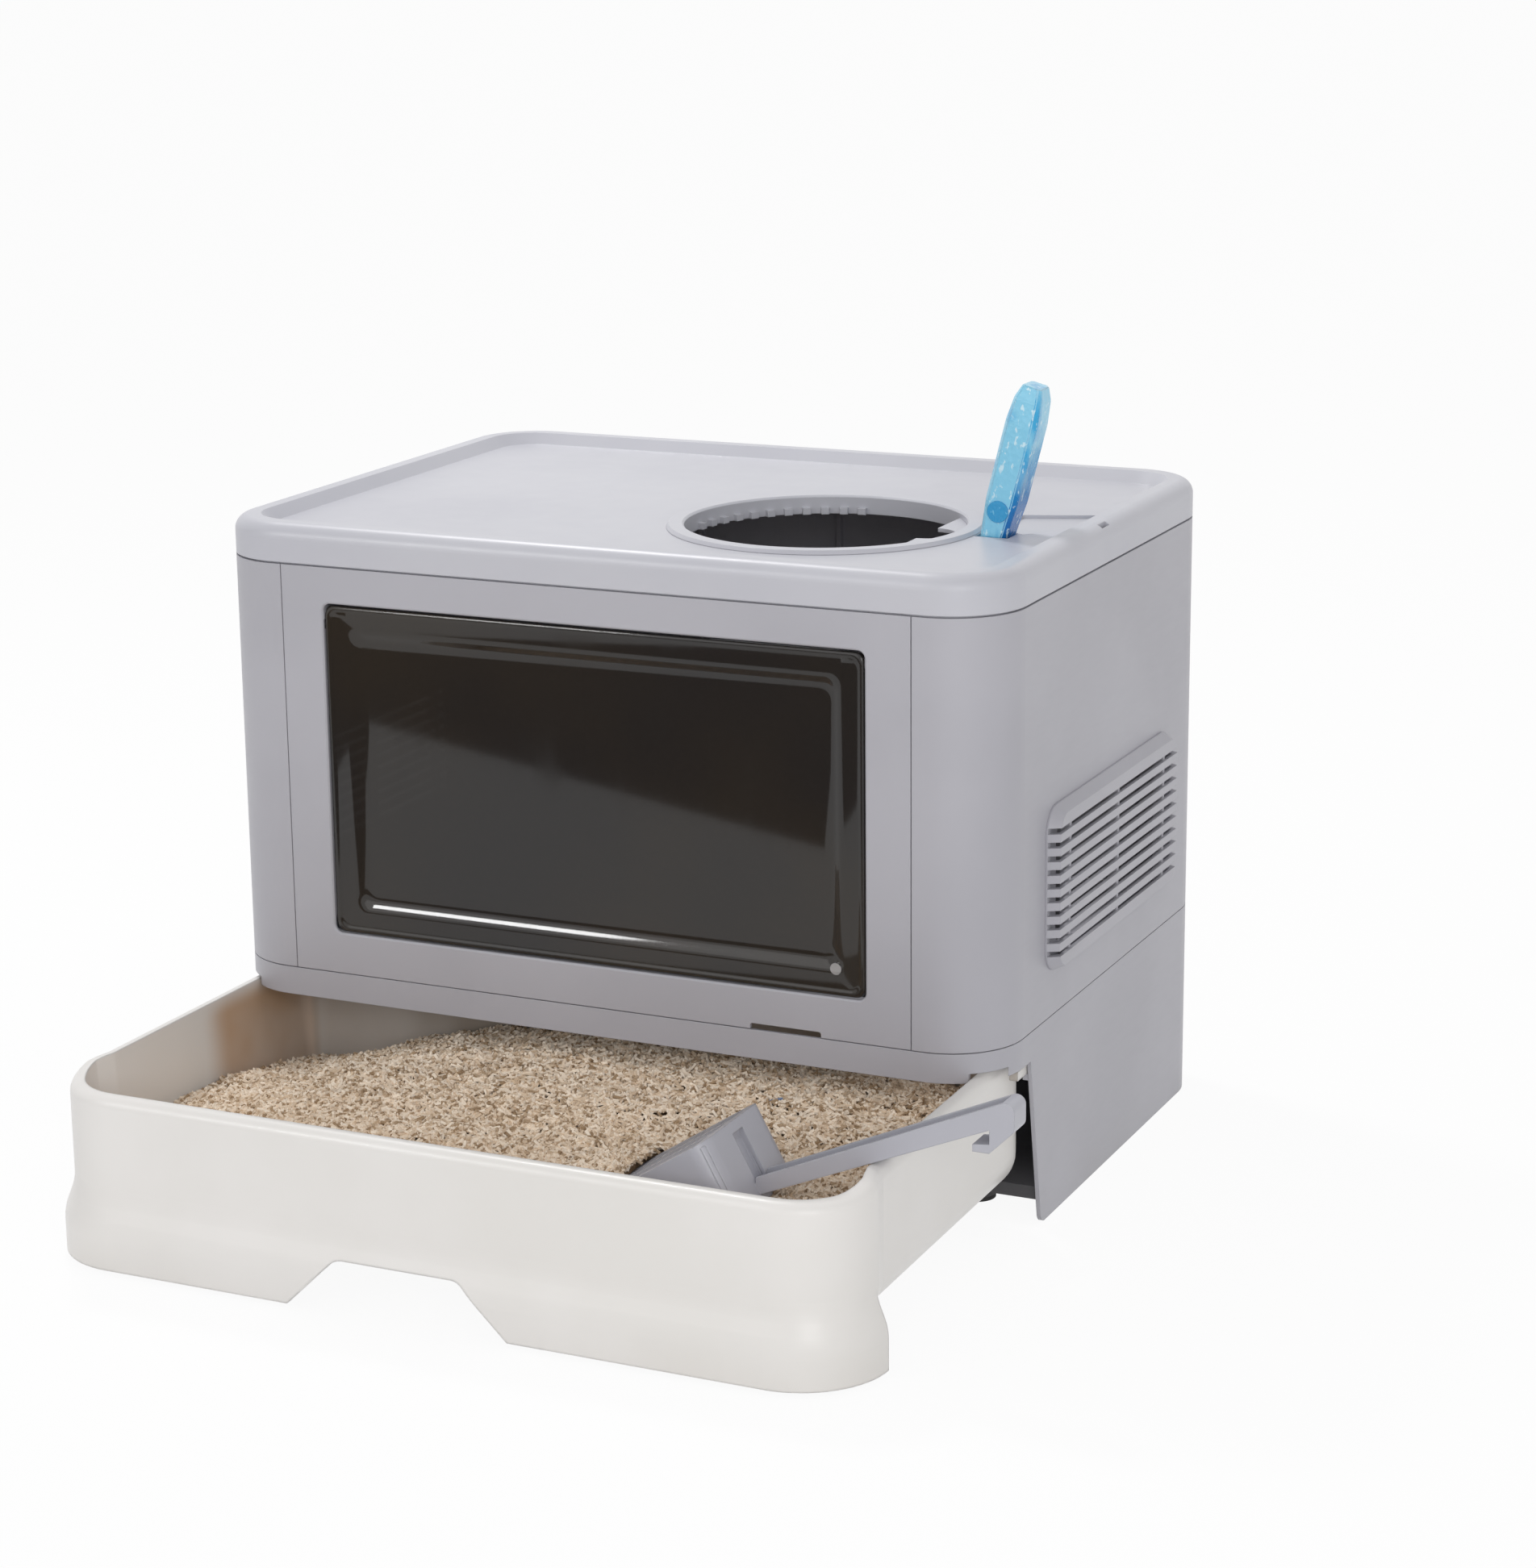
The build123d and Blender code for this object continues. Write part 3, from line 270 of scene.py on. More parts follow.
def mouldedPlastic(name, look, dust=None):
    finish = Finish(name)
    edge = finish.softEdge(look["edge"])
    cloud, grain, flow, scuff = (
        finish.noise(*moulding[kind]) for kind in ("cloud", "grain", "flow", "scuff")
    )
    colour = finish.mix(cloud.between(*moulding["cloudSpan"]), look["colour"], look["cloud"])
    low = 1.0 - finish.along("Z").between(0.0, moulding["dustTop"])
    dusty = low * cloud.between(*moulding["dustSpan"]) * moulding["dustShare"]
    colour = finish.mix(dusty, colour, look["dust"])
    # lighter rounded edges in scuffed patches: wear, and a painted highlight
    wornAndHighlit = finish.edgeMask(edge) * scuff.between(*moulding["wornAndHighlitSpan"]) * moulding["wornAndHighlitShare"]
    colour = finish.mix(wornAndHighlit, colour, look["wornAndHighlit"])
    # dust, when given, paints a warm glow and a rear shade on the drawer
    if dust:
        colour = paintTubGlowAndShade(finish, colour, dust)
    rough = look["roughness"] + (scuff - 0.5) * look["spread"] + (grain - 0.5) * moulding["grainRough"]
    relief = finish.bump(flow, moulding["flowDepth"], edge)
    relief = finish.bump(grain, moulding["grainDepth"], relief)
    finish.surface({
        "Base Color": colour, "Roughness": rough, "Coat Weight": look["coat"], "Normal": relief,
    })
    return finish.material


# ---- smoked window ----
windowLook = {
    "colour": tint(36, 33, 32), "warm": tint(48, 41, 33), "cloud": (5.0, 3.0),
    "cloudSpan": (0.35, 0.75), "smear": (34.0, 4.0, (1.0, 1.0, 0.35)), "smearSpan": (0.50, 0.85),
    "smearRough": 0.07, "smearDepth": 0.00002, "speck": (900.0, 1.0), "speckSpan": (0.68, 0.75),
    "speckRough": 0.1, "roughness": 0.045, "alpha": 0.94, "edge": 0.0009,
}
windowShape = {  # inset from the edge and depth behind the front, in millimetres
    "front": (
        (0.0, 1.5), (0.3, 0.75), (0.9, 0.2), (1.8, 0.0), (2.8, 0.15), (3.6, 0.55), (4.6, 0.7),
        (13.0, 0.75), (15.0, 0.95), (16.8, 1.6), (18.4, 2.5), (20.0, 3.15), (22.0, 3.5), (26.0, 3.6),
    ),
    "back": (
        (25.0, 5.8), (20.5, 5.4), (18.0, 4.4), (15.5, 3.0), (13.0, 2.4), (1.2, 2.4), (0.3, 2.1),
    ),
    "halfWidth": 0.1752, "low": 0.1508, "high": 0.3538, "frontY": -0.1865, "cornerRadius": 0.0060,
    "innerRadius": 0.0085, "innerInset": 20.0, "cornerSteps": 6,
}
knuckleShape = {
    "y": -0.1822, "z": 0.349, "outer": 0.0036, "inner": 0.00195, "inset": 0.0010, "length": 0.013,
    "sides": 20,
}


def smokedPlastic(name, look):
    finish = Finish(name)
    edge = finish.softEdge(look["edge"])
    cloud, smear, speck = (finish.noise(*look[kind]) for kind in ("cloud", "smear", "speck"))
    colour = finish.mix(cloud.between(*look["cloudSpan"]), look["colour"], look["warm"])
    rough = look["roughness"] + smear.between(*look["smearSpan"]) * look["smearRough"]
    rough = rough + speck.between(*look["speckSpan"]) * look["speckRough"]
    rim = finish.edgeMask(edge)
    finish.surface({
        "Base Color": colour, "Roughness": rough, "Alpha": look["alpha"] + rim * (1.0 - look["alpha"]),
        "Normal": finish.bump(smear, look["smearDepth"], edge),
    })
    return finish.material


def windowRing(shape, look, inset, depth):  # a rounded rectangle of corners
    share = min(1.0, inset / look["innerInset"])
    radius = look["cornerRadius"] + (look["innerRadius"] - look["cornerRadius"]) * share
    middle, halfHeight = (look["low"] + look["high"]) / 2, (look["high"] - look["low"]) / 2
    wide, tall = look["halfWidth"] - inset / 1000, halfHeight - inset / 1000
    corners = []
    for quarter, (sideX, sideZ) in enumerate(((1, 1), (-1, 1), (-1, -1), (1, -1))):
        for step in range(look["cornerSteps"] + 1):
            angle = (quarter + step / look["cornerSteps"]) * pi / 2
            corners.append(shape.verts.new((
                sideX * (wide - radius) + radius * cos(angle), look["frontY"] + depth / 1000,
                middle + sideZ * (tall - radius) + radius * sin(angle),
            )))
    return corners


def addKnuckle(shape, look, start, end):  # a short tube round the hinge pin, from start to end
    rings = []
    for x, radius in (
        (start, look["inner"]), (start, look["outer"]), (end, look["outer"]), (end, look["inner"]),
    ):
        angles = [2 * pi * step / look["sides"] for step in range(look["sides"])]
        rings.append([
            shape.verts.new((x, look["y"] + radius * cos(angle), look["z"] + radius * sin(angle)))
            for angle in angles
        ])
    bridged(shape, rings + rings[:1])


def buildWindow(look, knuckle):  # a dished sheet with a rounded lip, and a knuckle at each upper corner
    shape = bmesh.new()
    profile = tuple(reversed(look["front"])) + tuple(reversed(look["back"]))
    rings = [windowRing(shape, look, inset, depth) for inset, depth in profile]
    bridged(shape, rings)
    shape.faces.new(rings[0])
    shape.faces.new(rings[-1])
    for side in (-1, 1):
        start = side * (look["halfWidth"] - knuckle["inset"])
        addKnuckle(shape, knuckle, start, start - side * knuckle["length"])
    for face in shape.faces:
        face.smooth = len(face.verts) == 4
    window = builtPiece("windowSheet", shape, smokedPlastic("smokedWindow", windowLook))
    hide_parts("window_flap")
    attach(window, "flap")


# ---- cartridge: mottled blue, light in front, with painted shade on its right side and foot, and painted glints ----
# the side and foot colours are painted shade on the right face, and the glint colour is a painted highlight
# on specks and edges
blueLooks = {
    "case": {
        "light": tint(134, 207, 236), "deep": tint(20, 160, 216), "foot": tint(10, 118, 196),
        "paintedGlint": tint(216, 241, 250), "side": tint(28, 168, 222),
    },
    "plug": {
        "light": tint(28, 152, 206), "deep": tint(10, 122, 188), "foot": tint(10, 118, 196),
        "paintedGlint": tint(120, 200, 234), "side": tint(10, 118, 196),
    },
}
mottling = {
    "edge": 0.0007, "patch": (60.0, 4.0, (1.0, 1.0, 0.55)), "frontSpan": (0.52, 0.66),
    "sideSpan": (0.42, 0.60), "rimGlintSpan": (0.40, 0.60), "shadedSideSpan": (0.35, 0.75),
    "shadedFootSpan": (0.400, 0.450), "speck": (300.0, 3.0, (1.0, 1.0, 0.5)), "speckSpan": (0.60, 0.66),
    "share": 0.8, "bead": 300.0, "beadDepth": 0.00022, "roughness": 0.20, "patchRough": 0.16,
    "coat": 0.5, "coatRough": 0.08,
}
cartridgeShape = {
    "lean": 14.5, "halfWidth": 0.0100, "halfDepth": 0.0125, "chamfer": 0.26, "length": 0.101,
    "rings": (  # share of the length from the foot, of the width and of the depth
        (0.000, 0.70, 0.84), (0.087, 0.80, 0.92), (0.300, 1.00, 1.00), (0.780, 1.00, 1.00),
        (0.920, 0.86, 0.92), (1.000, 0.60, 0.66),
    ),
    "edge": 0.0006, "edgeSteps": 2,
}


def mottledBlue(name, look):
    finish = Finish(name)
    edge = finish.softEdge(mottling["edge"])
    patch = finish.noise(*mottling["patch"])
    bead = finish.cells(mottling["bead"])
    speck = finish.noise(*mottling["speck"])
    share = mottling["share"]
    height = finish.along("Z")
    # painted shade: faces turned towards +X take the side colour, darker still at the foot
    right = finish.facing("X").between(*mottling["shadedSideSpan"])
    front = finish.mix(patch.between(*mottling["frontSpan"]) * share, look["light"], look["deep"])
    low = 1.0 - height.between(*mottling["shadedFootSpan"])
    upper = finish.mix(patch.between(*mottling["sideSpan"]), look["side"], look["light"])
    side = finish.mix(low, upper, look["foot"])
    colour = finish.mix(right, front, side)
    # painted highlights: the glint colour on scattered specks and on patches of the edges
    colour = finish.mix(speck.between(*mottling["speckSpan"]) * share, colour, look["paintedGlint"])
    rim = finish.edgeMask(edge) * patch.between(*mottling["rimGlintSpan"]) * share
    finish.surface({
        "Base Color": finish.mix(rim, colour, look["paintedGlint"]),
        "Roughness": mottling["roughness"] + patch * mottling["patchRough"],
        "Coat Weight": mottling["coat"], "Coat Roughness": mottling["coatRough"],
        "Normal": finish.bump(bead, mottling["beadDepth"], edge),
    })
    return finish.material


def buildCartridge(look):  # a faceted bar, narrowed at its foot and its top
    low, high = (Vector(corner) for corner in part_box("cartridge_case"))
    lean = radians(look["lean"])
    up, across = Vector((sin(lean), 0, cos(lean))), Vector((cos(lean), 0, -sin(lean)))
    foot = (low + high) / 2 - up * (look["length"] / 2)
    shape = bmesh.new()
    cut = 1 - look["chamfer"]
    outline = ((1, cut), (cut, 1), (-cut, 1), (-1, cut), (-1, -cut), (-cut, -1), (cut, -1), (1, -cut))
    rings = []
    for share, wide, deep in look["rings"]:
        middle = foot + up * (share * look["length"])
        rings.append([
            shape.verts.new(
                middle + across * (x * wide * look["halfWidth"])
                + Vector((0, y * deep * look["halfDepth"], 0))
            )
            for x, y in outline
        ])
    bridged(shape, rings)
    shape.faces.new(rings[0])
    shape.faces.new(list(reversed(rings[-1])))
    bmesh.ops.recalc_face_normals(shape, faces=shape.faces)
    bmesh.ops.bevel(
        shape, geom=list(shape.edges), offset=look["edge"], segments=look["edgeSteps"],
        affect="EDGES", clamp_overlap=True,
    )
    mesh = freedMesh("cartridgeBar", shape)
    mesh.materials.append(mottledBlue("cartridgeBlue", blueLooks["case"]))
    bar = linked("cartridgeBar", mesh)
    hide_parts("cartridge_case", "cartridge_grille")
    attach(bar, "cartridge")


# ---- steel and rubber ----
steelLook = {
    "dull": tint(176, 177, 180), "bright": tint(212, 212, 214),
    "lines": (420.0, 3.0, (0.05, 1.0, 1.0)), "depth": 0.00003, "roughness": 0.22, "spread": 0.18,
}
rubberLook = {
    "colour": tint(48, 48, 50), "dust": tint(92, 89, 86), "cloud": (40.0, 3.0), "cloudSpan": (0.4, 0.8),
    "dustShare": 0.5, "grain": (700.0, 3.0), "depth": 0.0001, "roughness": 0.78, "spread": 0.2,
}


def drawnSteel(name, look):
    finish = Finish(name)
    lines = finish.noise(*look["lines"])
    finish.surface({
        "Base Color": finish.mix(lines, look["dull"], look["bright"]), "Metallic": 1.0,
        "Roughness": look["roughness"] + lines * look["spread"],
        "Normal": finish.bump(lines, look["depth"]),
    })
    return finish.material


def footRubber(name, look):
    finish = Finish(name)
    grain, cloud = finish.noise(*look["grain"]), finish.noise(*look["cloud"])
    dusty = cloud.between(*look["cloudSpan"]) * look["dustShare"]
    finish.surface({
        "Base Color": finish.mix(dusty, look["colour"], look["dust"]),
        "Roughness": look["roughness"] + (grain - 0.5) * look["spread"],
        "Normal": finish.bump(grain, look["depth"]),
    })
    return finish.material


housing = mouldedPlastic("housingPlastic", mouldedLooks["housing"])
lidPlastic = mouldedPlastic("lidPlastic", mouldedLooks["lid"])
steel = drawnSteel("drawnSteel", steelLook)
finishOf = {
    "base_frame": housing, "left_shell": housing, "right_shell": housing, "front_panel": housing,
    "back_panel": housing, "left_vent_cover": housing, "right_vent_cover": housing,
    "left_lid_catch": housing, "right_lid_catch": housing,
    "lid": lidPlastic, "entry_ring": lidPlastic, "step_pad": lidPlastic,
    "base_floor": mouldedPlastic("floorPlastic", mouldedLooks["floor"]),
    "litter_drawer": mouldedPlastic("drawerPlastic", mouldedLooks["drawer"], paintedTubGlowAndShade),
    "scoop": mouldedPlastic("scoopPlastic", mouldedLooks["scoop"]),
    "cartridge_plug": mottledBlue("plugBlue", blueLooks["plug"]),
    "flap_hinge_pins": steel, "flap_magnet": steel,
    "anti_slip_feet": footRubber("footRubber", rubberLook),
}
for node, finish in finishOf.items():
    nodes[node].data.materials.clear()
    nodes[node].data.materials.append(finish)
buildWindow(windowShape, knuckleShape)
buildCartridge(cartridgeShape)
print("finishes on", len(finishOf), "nodes")

# ---- scoop: strips that close its heel's corners, where the solid's cavity breaks through ----
scoopPlace = {"x": 0.155, "y": -0.3225, "z": 0.120, "pitch": 33.0}  # the middle of the blade's ridge
heelStrips = {
    "lean": 4.0, "width": 0.076, "cornerRadius": 0.011, "recess": 0.00006, "wall": 0.0022,
    "start": 0.0016, "end": 0.0455, "slant": 0.364, "steps": 10,
}


def buildHeelStrips(look, place):
    shape = bmesh.new()
    pitch, lean = radians(place["pitch"]), radians(look["lean"])
    ridge = Vector((place["x"], place["y"], place["z"]))
    along, down = Vector((cos(pitch), 0, sin(pitch))), Vector((sin(pitch), 0, -cos(pitch)))
    heelDown = down * cos(lean) - along * sin(lean)
    heelOut = along * cos(lean) + down * sin(lean)
    corner, steps = look["cornerRadius"], look["steps"]
    outer = corner - look["recess"]
    outline = [(outer, step) for step in range(steps + 1)]
    outline += [(outer - look["wall"], step) for step in range(steps, -1, -1)]
    for side in (-1, 1):
        middle = ridge - heelOut * corner
        middle = middle + Vector((0, side * (look["width"] / 2 - corner), 0))
        rings = []
        for reach, slant in ((look["start"], 0.0), (look["end"], look["slant"])):
            ring = []
            for radius, step in outline:
                angle = pi / 2 * step / steps
                rise = slant * corner * (1 - cos(angle))
                ring.append(shape.verts.new(
                    middle + heelDown * (reach - rise) + heelOut * (radius * cos(angle))
                    + Vector((0, side * radius * sin(angle), 0))
                ))
            rings.append(ring)
        bridged(shape, rings)
        shape.faces.new(rings[0])
        shape.faces.new(list(reversed(rings[1])))
    strips = builtPiece("scoopHeelStrips", shape, finishOf["scoop"])
    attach(strips, "scoop_body")


buildHeelStrips(heelStrips, scoopPlace)
print("scoop's heel closed")

# ---- litter: an uneven bed with loose pellets, and a heap of them on the sunk scoop ----
pelletLook = {  # the pale, dark and speck spans are shares of the pellets, by their random tone
    "pale": tint(252, 238, 220), "mid": tint(222, 199, 172), "dark": tint(158, 130, 98),
    "speck": tint(112, 128, 160), "paleSpan": (0.20, 0.80), "darkSpan": (0.04, 0.28),
    "speckSpan": (0.9998, 0.99985), "fibre": (1300.0, 3.0), "fibreSpan": (0.35, 0.75),
    "fibreShare": 0.25, "fibreDepth": 0.0001, "roughness": 0.82, "spread": 0.2,
}
pelletShape = {  # each end is its share of the length, its share of the radius and its twist
    "length": 0.0080, "radius": 0.00100, "sides": 4, "ridge": 0.14,
    "ends": ((-0.5, 0.80, 0.0), (0.5, 0.92, 0.35)),
}
# the bed's browns are a painted shade for the gaps between pellets, darker in cloudy patches
bedLook = {
    "colour": tint(150, 122, 92), "deep": tint(100, 78, 54), "cloud": (120.0, 4.0),
    "cloudSpan": (0.35, 0.7), "crumb": 420.0, "crumbDepth": 0.0008, "roughness": 0.92,
    "mergeDistance": 0.00001, "rayStart": 0.05, "leastUpward": 0.3,
}
scatterLook = {
    "bands": (-0.330, -0.255), "bandNames": ("Front", "Middle", "Back"), "counts": (7000, 10500, 12500),
    "smallest": 0.6, "largest": 1.25, "tilt": 0.50, "seed": 7,
}
crustLook = {
    "step": 0.002, "steepest": 0.005, "lift": 0.0026, "lump": 0.0030, "lumpScale": 30.0,
    "lumpLevel": 0.3, "grit": 0.0014, "gritScale": 110.0, "gritLevel": 0.7,
}
heapLook = {
    "halfWidth": 0.0388, "tipX": 0.0560, "dentHalf": 0.0392, "farShift": 0.003, "nearShift": 0.0265,
    "leastDepth": 0.0012, "clearance": 0.0004, "stepShare": 0.75, "count": 1500,
}


def pelletFinish(name, look):
    finish = Finish(name)
    tone = finish.node("ShaderNodeAttribute", {"attribute_name": "pelletTone"}, {}, "Fac")
    fibre = finish.noise(*look["fibre"])
    colour = finish.mix(tone.between(*look["paleSpan"]), look["mid"], look["pale"])
    colour = finish.mix(1.0 - tone.between(*look["darkSpan"]), colour, look["dark"])
    colour = finish.mix(fibre.between(*look["fibreSpan"]) * look["fibreShare"], colour, look["mid"])
    finish.surface({
        "Base Color": finish.mix(tone.between(*look["speckSpan"]), colour, look["speck"]),
        "Roughness": look["roughness"] + (fibre - 0.5) * look["spread"],
        "Normal": finish.bump(fibre, look["fibreDepth"]),
    })
    return finish.material


def gapShadedBedFinish(name, look):
    finish = Finish(name)
    crumb, cloud = finish.cells(look["crumb"]), finish.noise(*look["cloud"])
    finish.surface({
        "Base Color": finish.mix(cloud.between(*look["cloudSpan"]), look["colour"], look["deep"]),
        "Roughness": look["roughness"], "Normal": finish.bump(crumb, look["crumbDepth"]),
    })
    return finish.material


def buildPellet(look):  # a short tapered rod with one slightly twisted end
    shape = bmesh.new()
    rings = []
    for share, radiusShare, twist in look["ends"]:
        ring = []
        for side in range(look["sides"]):
            angle = 2 * pi * side / look["sides"] + twist
            radius = look["radius"] * radiusShare * (1 + look["ridge"] * (side % 2))
            ring.append(shape.verts.new((share * look["length"], radius * cos(angle), radius * sin(angle))))
        rings.append(ring)
    bridged(shape, rings)
    shape.faces.new(list(reversed(rings[0])))
    shape.faces.new(rings[1])
    bmesh.ops.recalc_face_normals(shape, faces=shape.faces)
    return bpy.data.objects.new("pelletShape", freedMesh("pelletShape", shape))


def scatterTree(pellet, finish):
    tree = bpy.data.node_groups.new("litterScatter", "GeometryNodeTree")
    work = NodeWork(tree)
    sockets = {"Geometry": "Geometry", "Density": "Float", "Smallest": "Float", "Largest": "Float",
               "Tilt": "Float", "Seed": "Int"}
    for label, kind in sockets.items():
        tree.interface.new_socket(label, in_out="INPUT", socket_type="NodeSocket" + kind)
    tree.interface.new_socket("Geometry", in_out="OUTPUT", socket_type="NodeSocketGeometry")
    entry = work.node("NodeGroupInput", {}, {})
    seed, tilt = entry.output("Seed"), entry.output("Tilt")
    points = work.node("GeometryNodeDistributePointsOnFaces", {}, {
        "Mesh": entry, "Density": entry.output("Density"), "Seed": seed,
    })
    lowest = work.node("ShaderNodeCombineXYZ", {}, {"Y": tilt * -1.0})
    highest = work.node("ShaderNodeCombineXYZ", {}, {"Y": tilt, "Z": 2 * pi})
    turn = work.node(
        "FunctionNodeRandomValue", {"data_type": "FLOAT_VECTOR"}, {0: lowest, 1: highest, "Seed": seed}
    )
    turn = work.node("FunctionNodeEulerToRotation", {}, {0: turn})
    laid = work.node(
        "FunctionNodeRotateRotation", {"rotation_space": "LOCAL"}, {0: points.output("Rotation"), 1: turn}
    )
    size = work.node("FunctionNodeRandomValue", {"data_type": "FLOAT"}, {
        2: entry.output("Smallest"), 3: entry.output("Largest"), "Seed": seed + 1.0,
    }, 1)
    shape = work.node("GeometryNodeObjectInfo", {}, {"Object": pellet}, "Geometry")
    placed = work.node("GeometryNodeInstanceOnPoints", {}, {
        "Points": points, "Instance": shape, "Rotation": laid, "Scale": size,
    })
    tone = work.node("FunctionNodeRandomValue", {"data_type": "FLOAT"}, {"Seed": seed + 2.0}, 1)
    toned = work.node(
        "GeometryNodeStoreNamedAttribute", {"data_type": "FLOAT", "domain": "INSTANCE"},
        {"Geometry": placed, "Name": "pelletTone", "Value": tone},
    )
    real = work.node("GeometryNodeRealizeInstances", {}, {0: toned})
    dressed = work.node("GeometryNodeSetMaterial", {}, {"Geometry": real, "Material": finish})
    work.node("NodeGroupOutput", {}, {0: dressed})
    return tree


def scattered(name, source, tree, count, body):  # pellets over source, as a plain mesh
    area = sum(face.area for face in source.data.polygons)
    values = {
        "Density": count / area, "Smallest": scatterLook["smallest"], "Largest": scatterLook["largest"],
        "Tilt": scatterLook["tilt"], "Seed": scatterLook["seed"] + len(name),
    }
    modifier = source.modifiers.new("scatter", "NODES")
    modifier.node_group = tree
    for item in tree.interface.items_tree:
        if item.item_type == "SOCKET" and item.in_out == "INPUT" and item.name in values:
            modifier[item.identifier] = values[item.name]
    bpy.context.view_layer.update()
    evaluated = source.evaluated_get(bpy.context.evaluated_depsgraph_get())
    pellets = linked(name, bpy.data.meshes.new_from_object(evaluated))
    source.modifiers.remove(modifier)
    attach(pellets, body)
    print(name, len(pellets.data.polygons), "faces over", round(area, 4), "m2")


def unevenness(look, x, y):
    lump = noise.noise(Vector((x, y, look["lumpLevel"])) * look["lumpScale"])
    grit = noise.noise(Vector((x, y, look["gritLevel"])) * look["gritScale"])
    return look["lift"] + lump * look["lump"] + grit * look["grit"]


def gridSpots(low, high, step):
    columns, rows = int((high[0] - low[0]) / step), int((high[1] - low[1]) / step)
    return [
        (column, row, low[0] + (column + 0.5) * step, low[1] + (row + 0.5) * step)
        for column in range(columns) for row in range(rows)
    ]


def crustOver(name, spots, heightAt, look):  # an uneven open surface over the spots with a height
    shape = bmesh.new()
    made = {}
    for column, row, x, y in spots:
        height = heightAt(x, y)
        if height is not None:
            made[column, row] = shape.verts.new((x, y, height + unevenness(look, x, y)))
    for column, row in made:
        corners = [made.get(key) for key in (
            (column, row), (column + 1, row), (column + 1, row + 1), (column, row + 1),
        )]
        if None in corners:
            continue
        heights = [corner.co.z for corner in corners]
        if max(heights) - min(heights) < look["steepest"]:
            shape.faces.new(corners)
    return linked(name, freedMesh(name, shape))


def layBed(look):  # the solid's own surface, merged, a function for its height, and its box
    bedMesh = nodes["litter_bed"].data.copy()
    shape = bmesh.new()
    shape.from_mesh(bedMesh)
    bmesh.ops.remove_doubles(shape, verts=shape.verts, dist=look["mergeDistance"])
    surface = BVHTree.FromBMesh(shape)
    shape.to_mesh(bedMesh)
    shape.free()
    bedMesh.materials.clear()
    bedMesh.materials.append(gapShadedBedFinish("litterBed", look))
    bed = linked("litterBed", bedMesh)
    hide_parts("litter_bed")
    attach(bed, "drawer")
    low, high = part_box("litter_bed")

    def bedHeight(x, y):
        above = Vector((x, y, high[2] + look["rayStart"]))
        place, normal = surface.ray_cast(above, Vector((0, 0, -1)))[:2]
        return place.z if place is not None and normal.z > look["leastUpward"] else None

    return bed, bedHeight, low, high


def layPellets(look, tree, bedHeight, low, high):  # in three bands, to keep each piece light
    step = crustLook["step"]
    spots = gridSpots(low, high, step)
    edges = (low[1],) + look["bands"] + (high[1],)
    for label, front, back, count in zip(look["bandNames"], edges, edges[1:], look["counts"]):
        band = [spot for spot in spots if front <= spot[3] < back + step]
        source = crustOver("crust" + label, band, bedHeight, crustLook)
        scattered("litterPellets" + label, source, tree, count, "drawer")
        bpy.data.objects.remove(source)


def buildHeap(look, place, tree, bed, bedHeight):  # the litter that lies on the sunk blade
    slope = tan(radians(place["pitch"]))
    farY = place["y"] + look["dentHalf"] + look["farShift"]
    nearY = place["y"] - look["dentHalf"] - look["nearShift"]

    def bladeHeight(x):
        return place["z"] + (x - place["x"]) * slope

    def heapHeight(x, y):  # level with the litter on both sides of the dent
        far, near = bedHeight(x, farY), bedHeight(x, nearY)
        if far is None:
            return None
        near = far if near is None else near
        height = near + (far - near) * ((y - nearY) / (farY - nearY))
        return height if height > bladeHeight(x) + look["leastDepth"] else None

    half = look["halfWidth"]
    spots = gridSpots(
        (look["tipX"], place["y"] - half), (place["x"], place["y"] + half),
        crustLook["step"] * look["stepShare"],
    )
    heap = crustOver("scoopHeap", spots, heapHeight, crustLook)
    shape = bmesh.new()
    shape.from_mesh(heap.data)
    walls = bmesh.ops.extrude_face_region(shape, geom=list(shape.faces))
    for corner in walls["geom"]:
        if isinstance(corner, bmesh.types.BMVert):
            corner.co.z = bladeHeight(corner.co.x) + look["clearance"]
    bmesh.ops.recalc_face_normals(shape, faces=shape.faces)
    solid = freedMesh("scoopHeap", shape)
    solid.materials.append(bed.data.materials[0])
    scattered("scoopPellets", heap, tree, look["count"], "scoop_body")
    heap.data = solid
    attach(heap, "scoop_body")


bed, bedHeight, bedLow, bedHigh = layBed(bedLook)
pellet = buildPellet(pelletShape)
pelletTree = scatterTree(pellet, pelletFinish("litterPellets", pelletLook))
layPellets(scatterLook, pelletTree, bedHeight, bedLow, bedHigh)
buildHeap(heapLook, scoopPlace, pelletTree, bed, bedHeight)
bpy.data.objects.remove(pellet)
bpy.data.node_groups.remove(pelletTree)
print("litter laid")

# ---- studio ----
studio = {
    "white": (1, 1, 1, 1), "worldLight": 0.60, "floorSide": 60.0, "floorDrop": 0.0003,
    "floorColour": tint(247, 247, 247), "floorFibre": tint(244, 244, 244), "fibre": (4.0, 2.0),
    "floorRough": 0.9, "floorGlow": 0.93,
    # Seen only in reflections: it darkens the floor that the window's upper part mirrors.
    "flag": ((-1.6, -1.54), (-1.6, -2.3), (0.3, -2.3), (0.3, -0.75)), "flagHeight": 0.001,
    "flagColour": tint(92, 80, 68), "flagRough": 1.0,
}
lampLooks = {
    "topLamp": {"place": (-0.8, 0.55, 1.9), "aim": (0, -0.1, 0.1), "side": 0.30, "watts": 13},
    "frontLamp": {"place": (-0.9, -3.0, 1.5), "aim": (0, -0.2, 0.2), "side": 2.0, "watts": 10},
    "sideLamp": {"place": (1.5, -2.2, 0.9), "aim": (0.2, 0, 0.2), "side": 1.0, "watts": 13},
    "glintLamp": {  # shows in glossy reflections only, as the bright line low in the window
        "place": (-1.10, -1.83, 1.20), "aim": (0, -0.18, 0.17), "side": 0.36, "watts": 9,
        "glossOnly": True,
    },
}


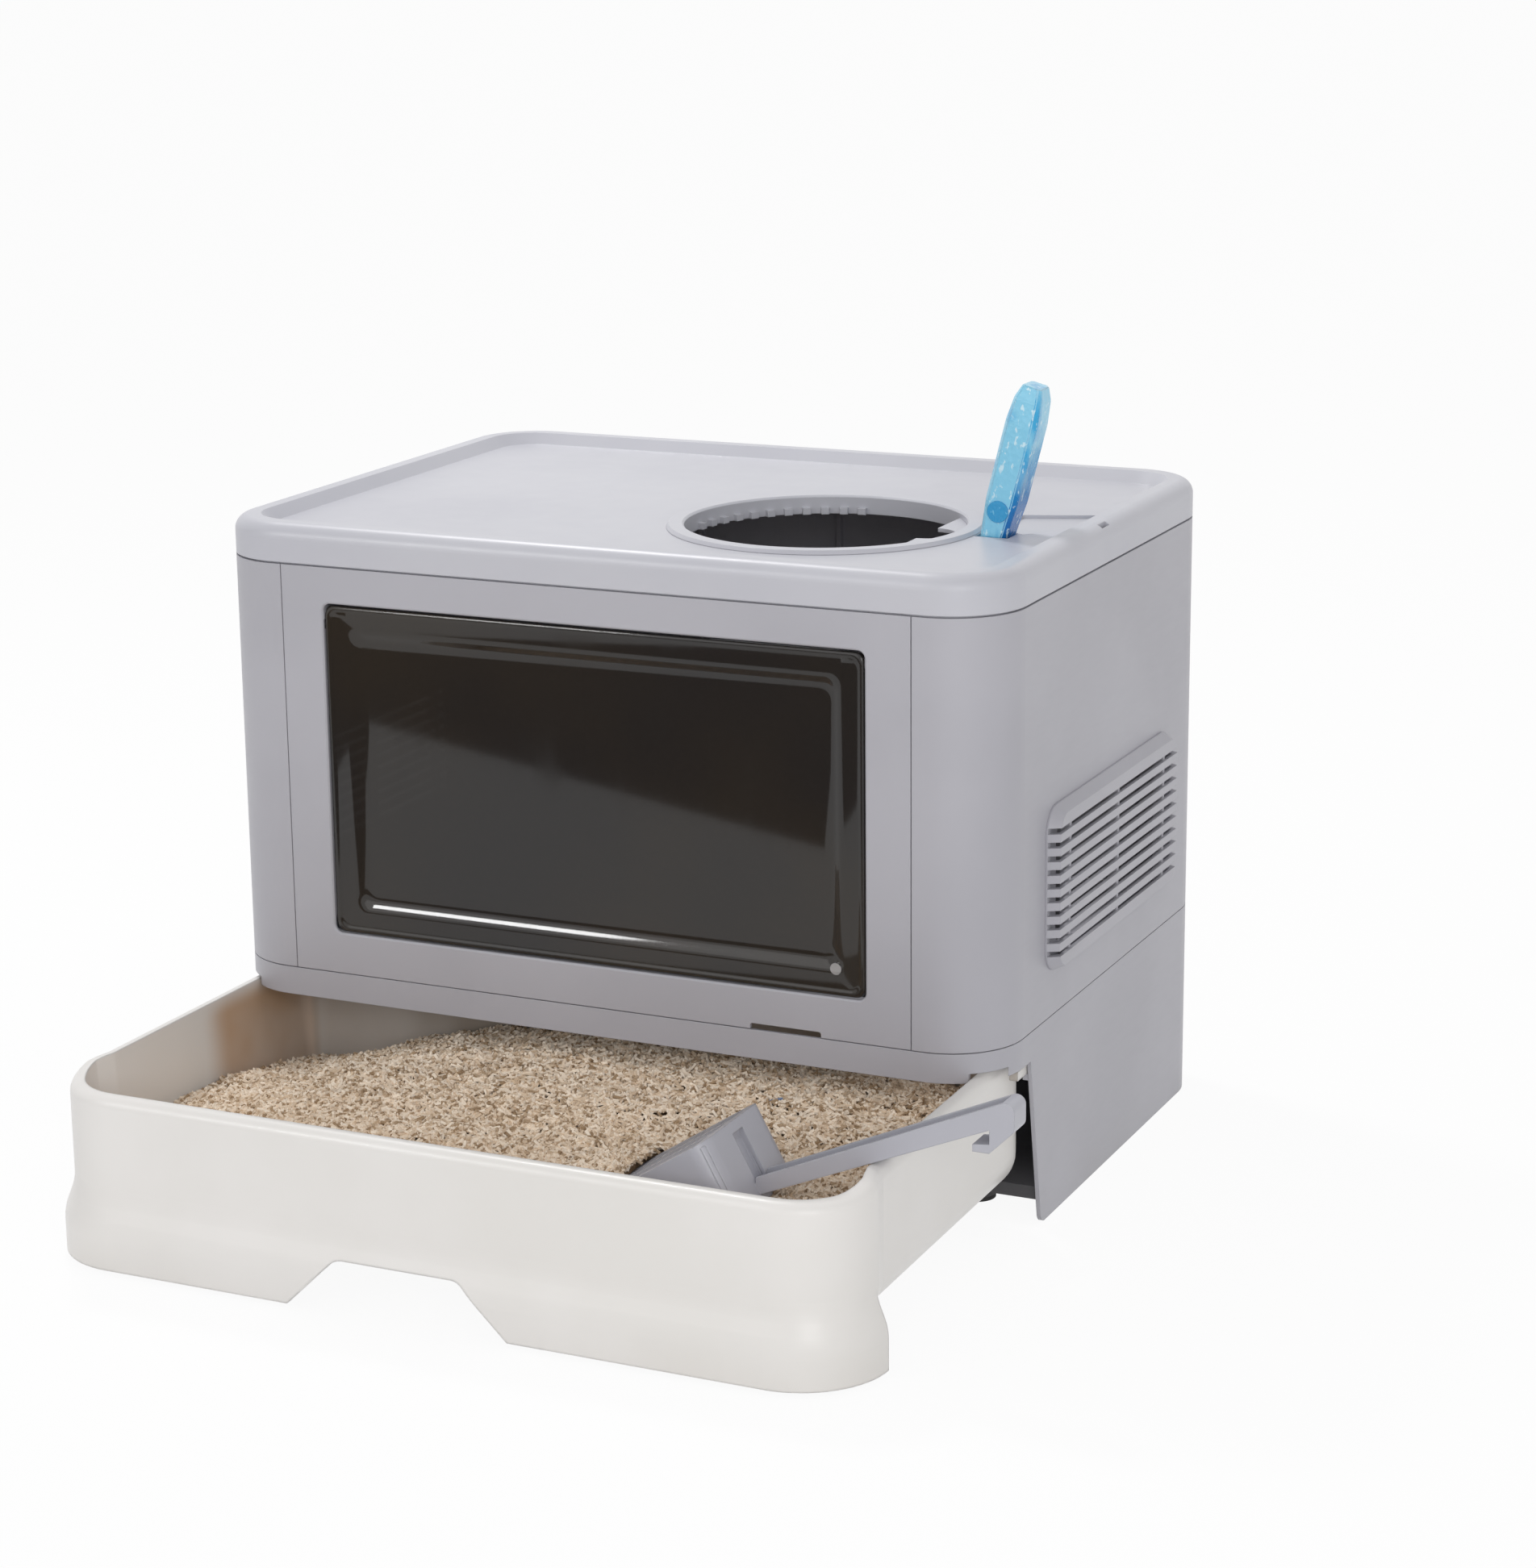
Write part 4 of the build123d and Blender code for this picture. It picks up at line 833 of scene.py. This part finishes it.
def buildWorld(look):
    world = bpy.data.worlds.new("studioWorld")
    bpy.context.scene.world = world
    world.use_nodes = True
    work = NodeWork(world.node_tree)
    light, white = (
        work.node("ShaderNodeBackground", {}, {"Color": look["white"], "Strength": strength})
        for strength in (look["worldLight"], 1.0)
    )
    both = work.node("ShaderNodeMixShader", {}, {0: work.showsBackdrop(), 1: light, 2: white})
    work.node("ShaderNodeOutputWorld", {}, {"Surface": both})


def flatPlate(name, corners, height):
    mesh = bpy.data.meshes.new(name)
    mesh.from_pydata([(x, y, height) for x, y in corners], [], [range(len(corners))])
    return linked(name, mesh)


def buildStage(look):
    half = look["floorSide"] / 2
    ground = flatPlate(
        "studioFloor", ((-half, -half), (half, -half), (half, half), (-half, half)), -look["floorDrop"]
    )
    paper = Finish("studioPaper")
    colour = paper.mix(paper.noise(*look["fibre"]), look["floorColour"], look["floorFibre"])
    plain = paper.node("ShaderNodeBsdfPrincipled", {}, {
        "Base Color": colour, "Roughness": look["floorRough"],
    })
    glow = paper.node("ShaderNodeEmission", {}, {"Color": look["white"], "Strength": 1.0})
    share = paper.showsBackdrop() * look["floorGlow"]
    paper.close(paper.node("ShaderNodeMixShader", {}, {0: share, 1: plain, 2: glow}))
    ground.data.materials.append(paper.material)

    flag = flatPlate("reflectionFlag", look["flag"], look["flagHeight"])
    felt = Finish("flagFelt")
    felt.surface({"Base Color": look["flagColour"], "Roughness": look["flagRough"]})
    flag.data.materials.append(felt.material)
    for kind in ("camera", "diffuse", "shadow", "transmission", "volume_scatter"):
        setattr(flag, "visible_" + kind, False)


def buildLamps(looks):
    for name, look in looks.items():
        data = bpy.data.lights.new(name, "AREA")
        data.shape, data.size, data.energy = "SQUARE", look["side"], look["watts"]
        lamp = linked(name, data)
        lamp.location = look["place"]
        lamp.visible_diffuse = not look.get("glossOnly", False)
        aim = Vector(look["aim"]) - lamp.location
        lamp.rotation_euler = aim.to_track_quat("-Z", "Y").to_euler()


buildWorld(studio)
buildStage(studio)
buildLamps(lampLooks)
print("studio built")
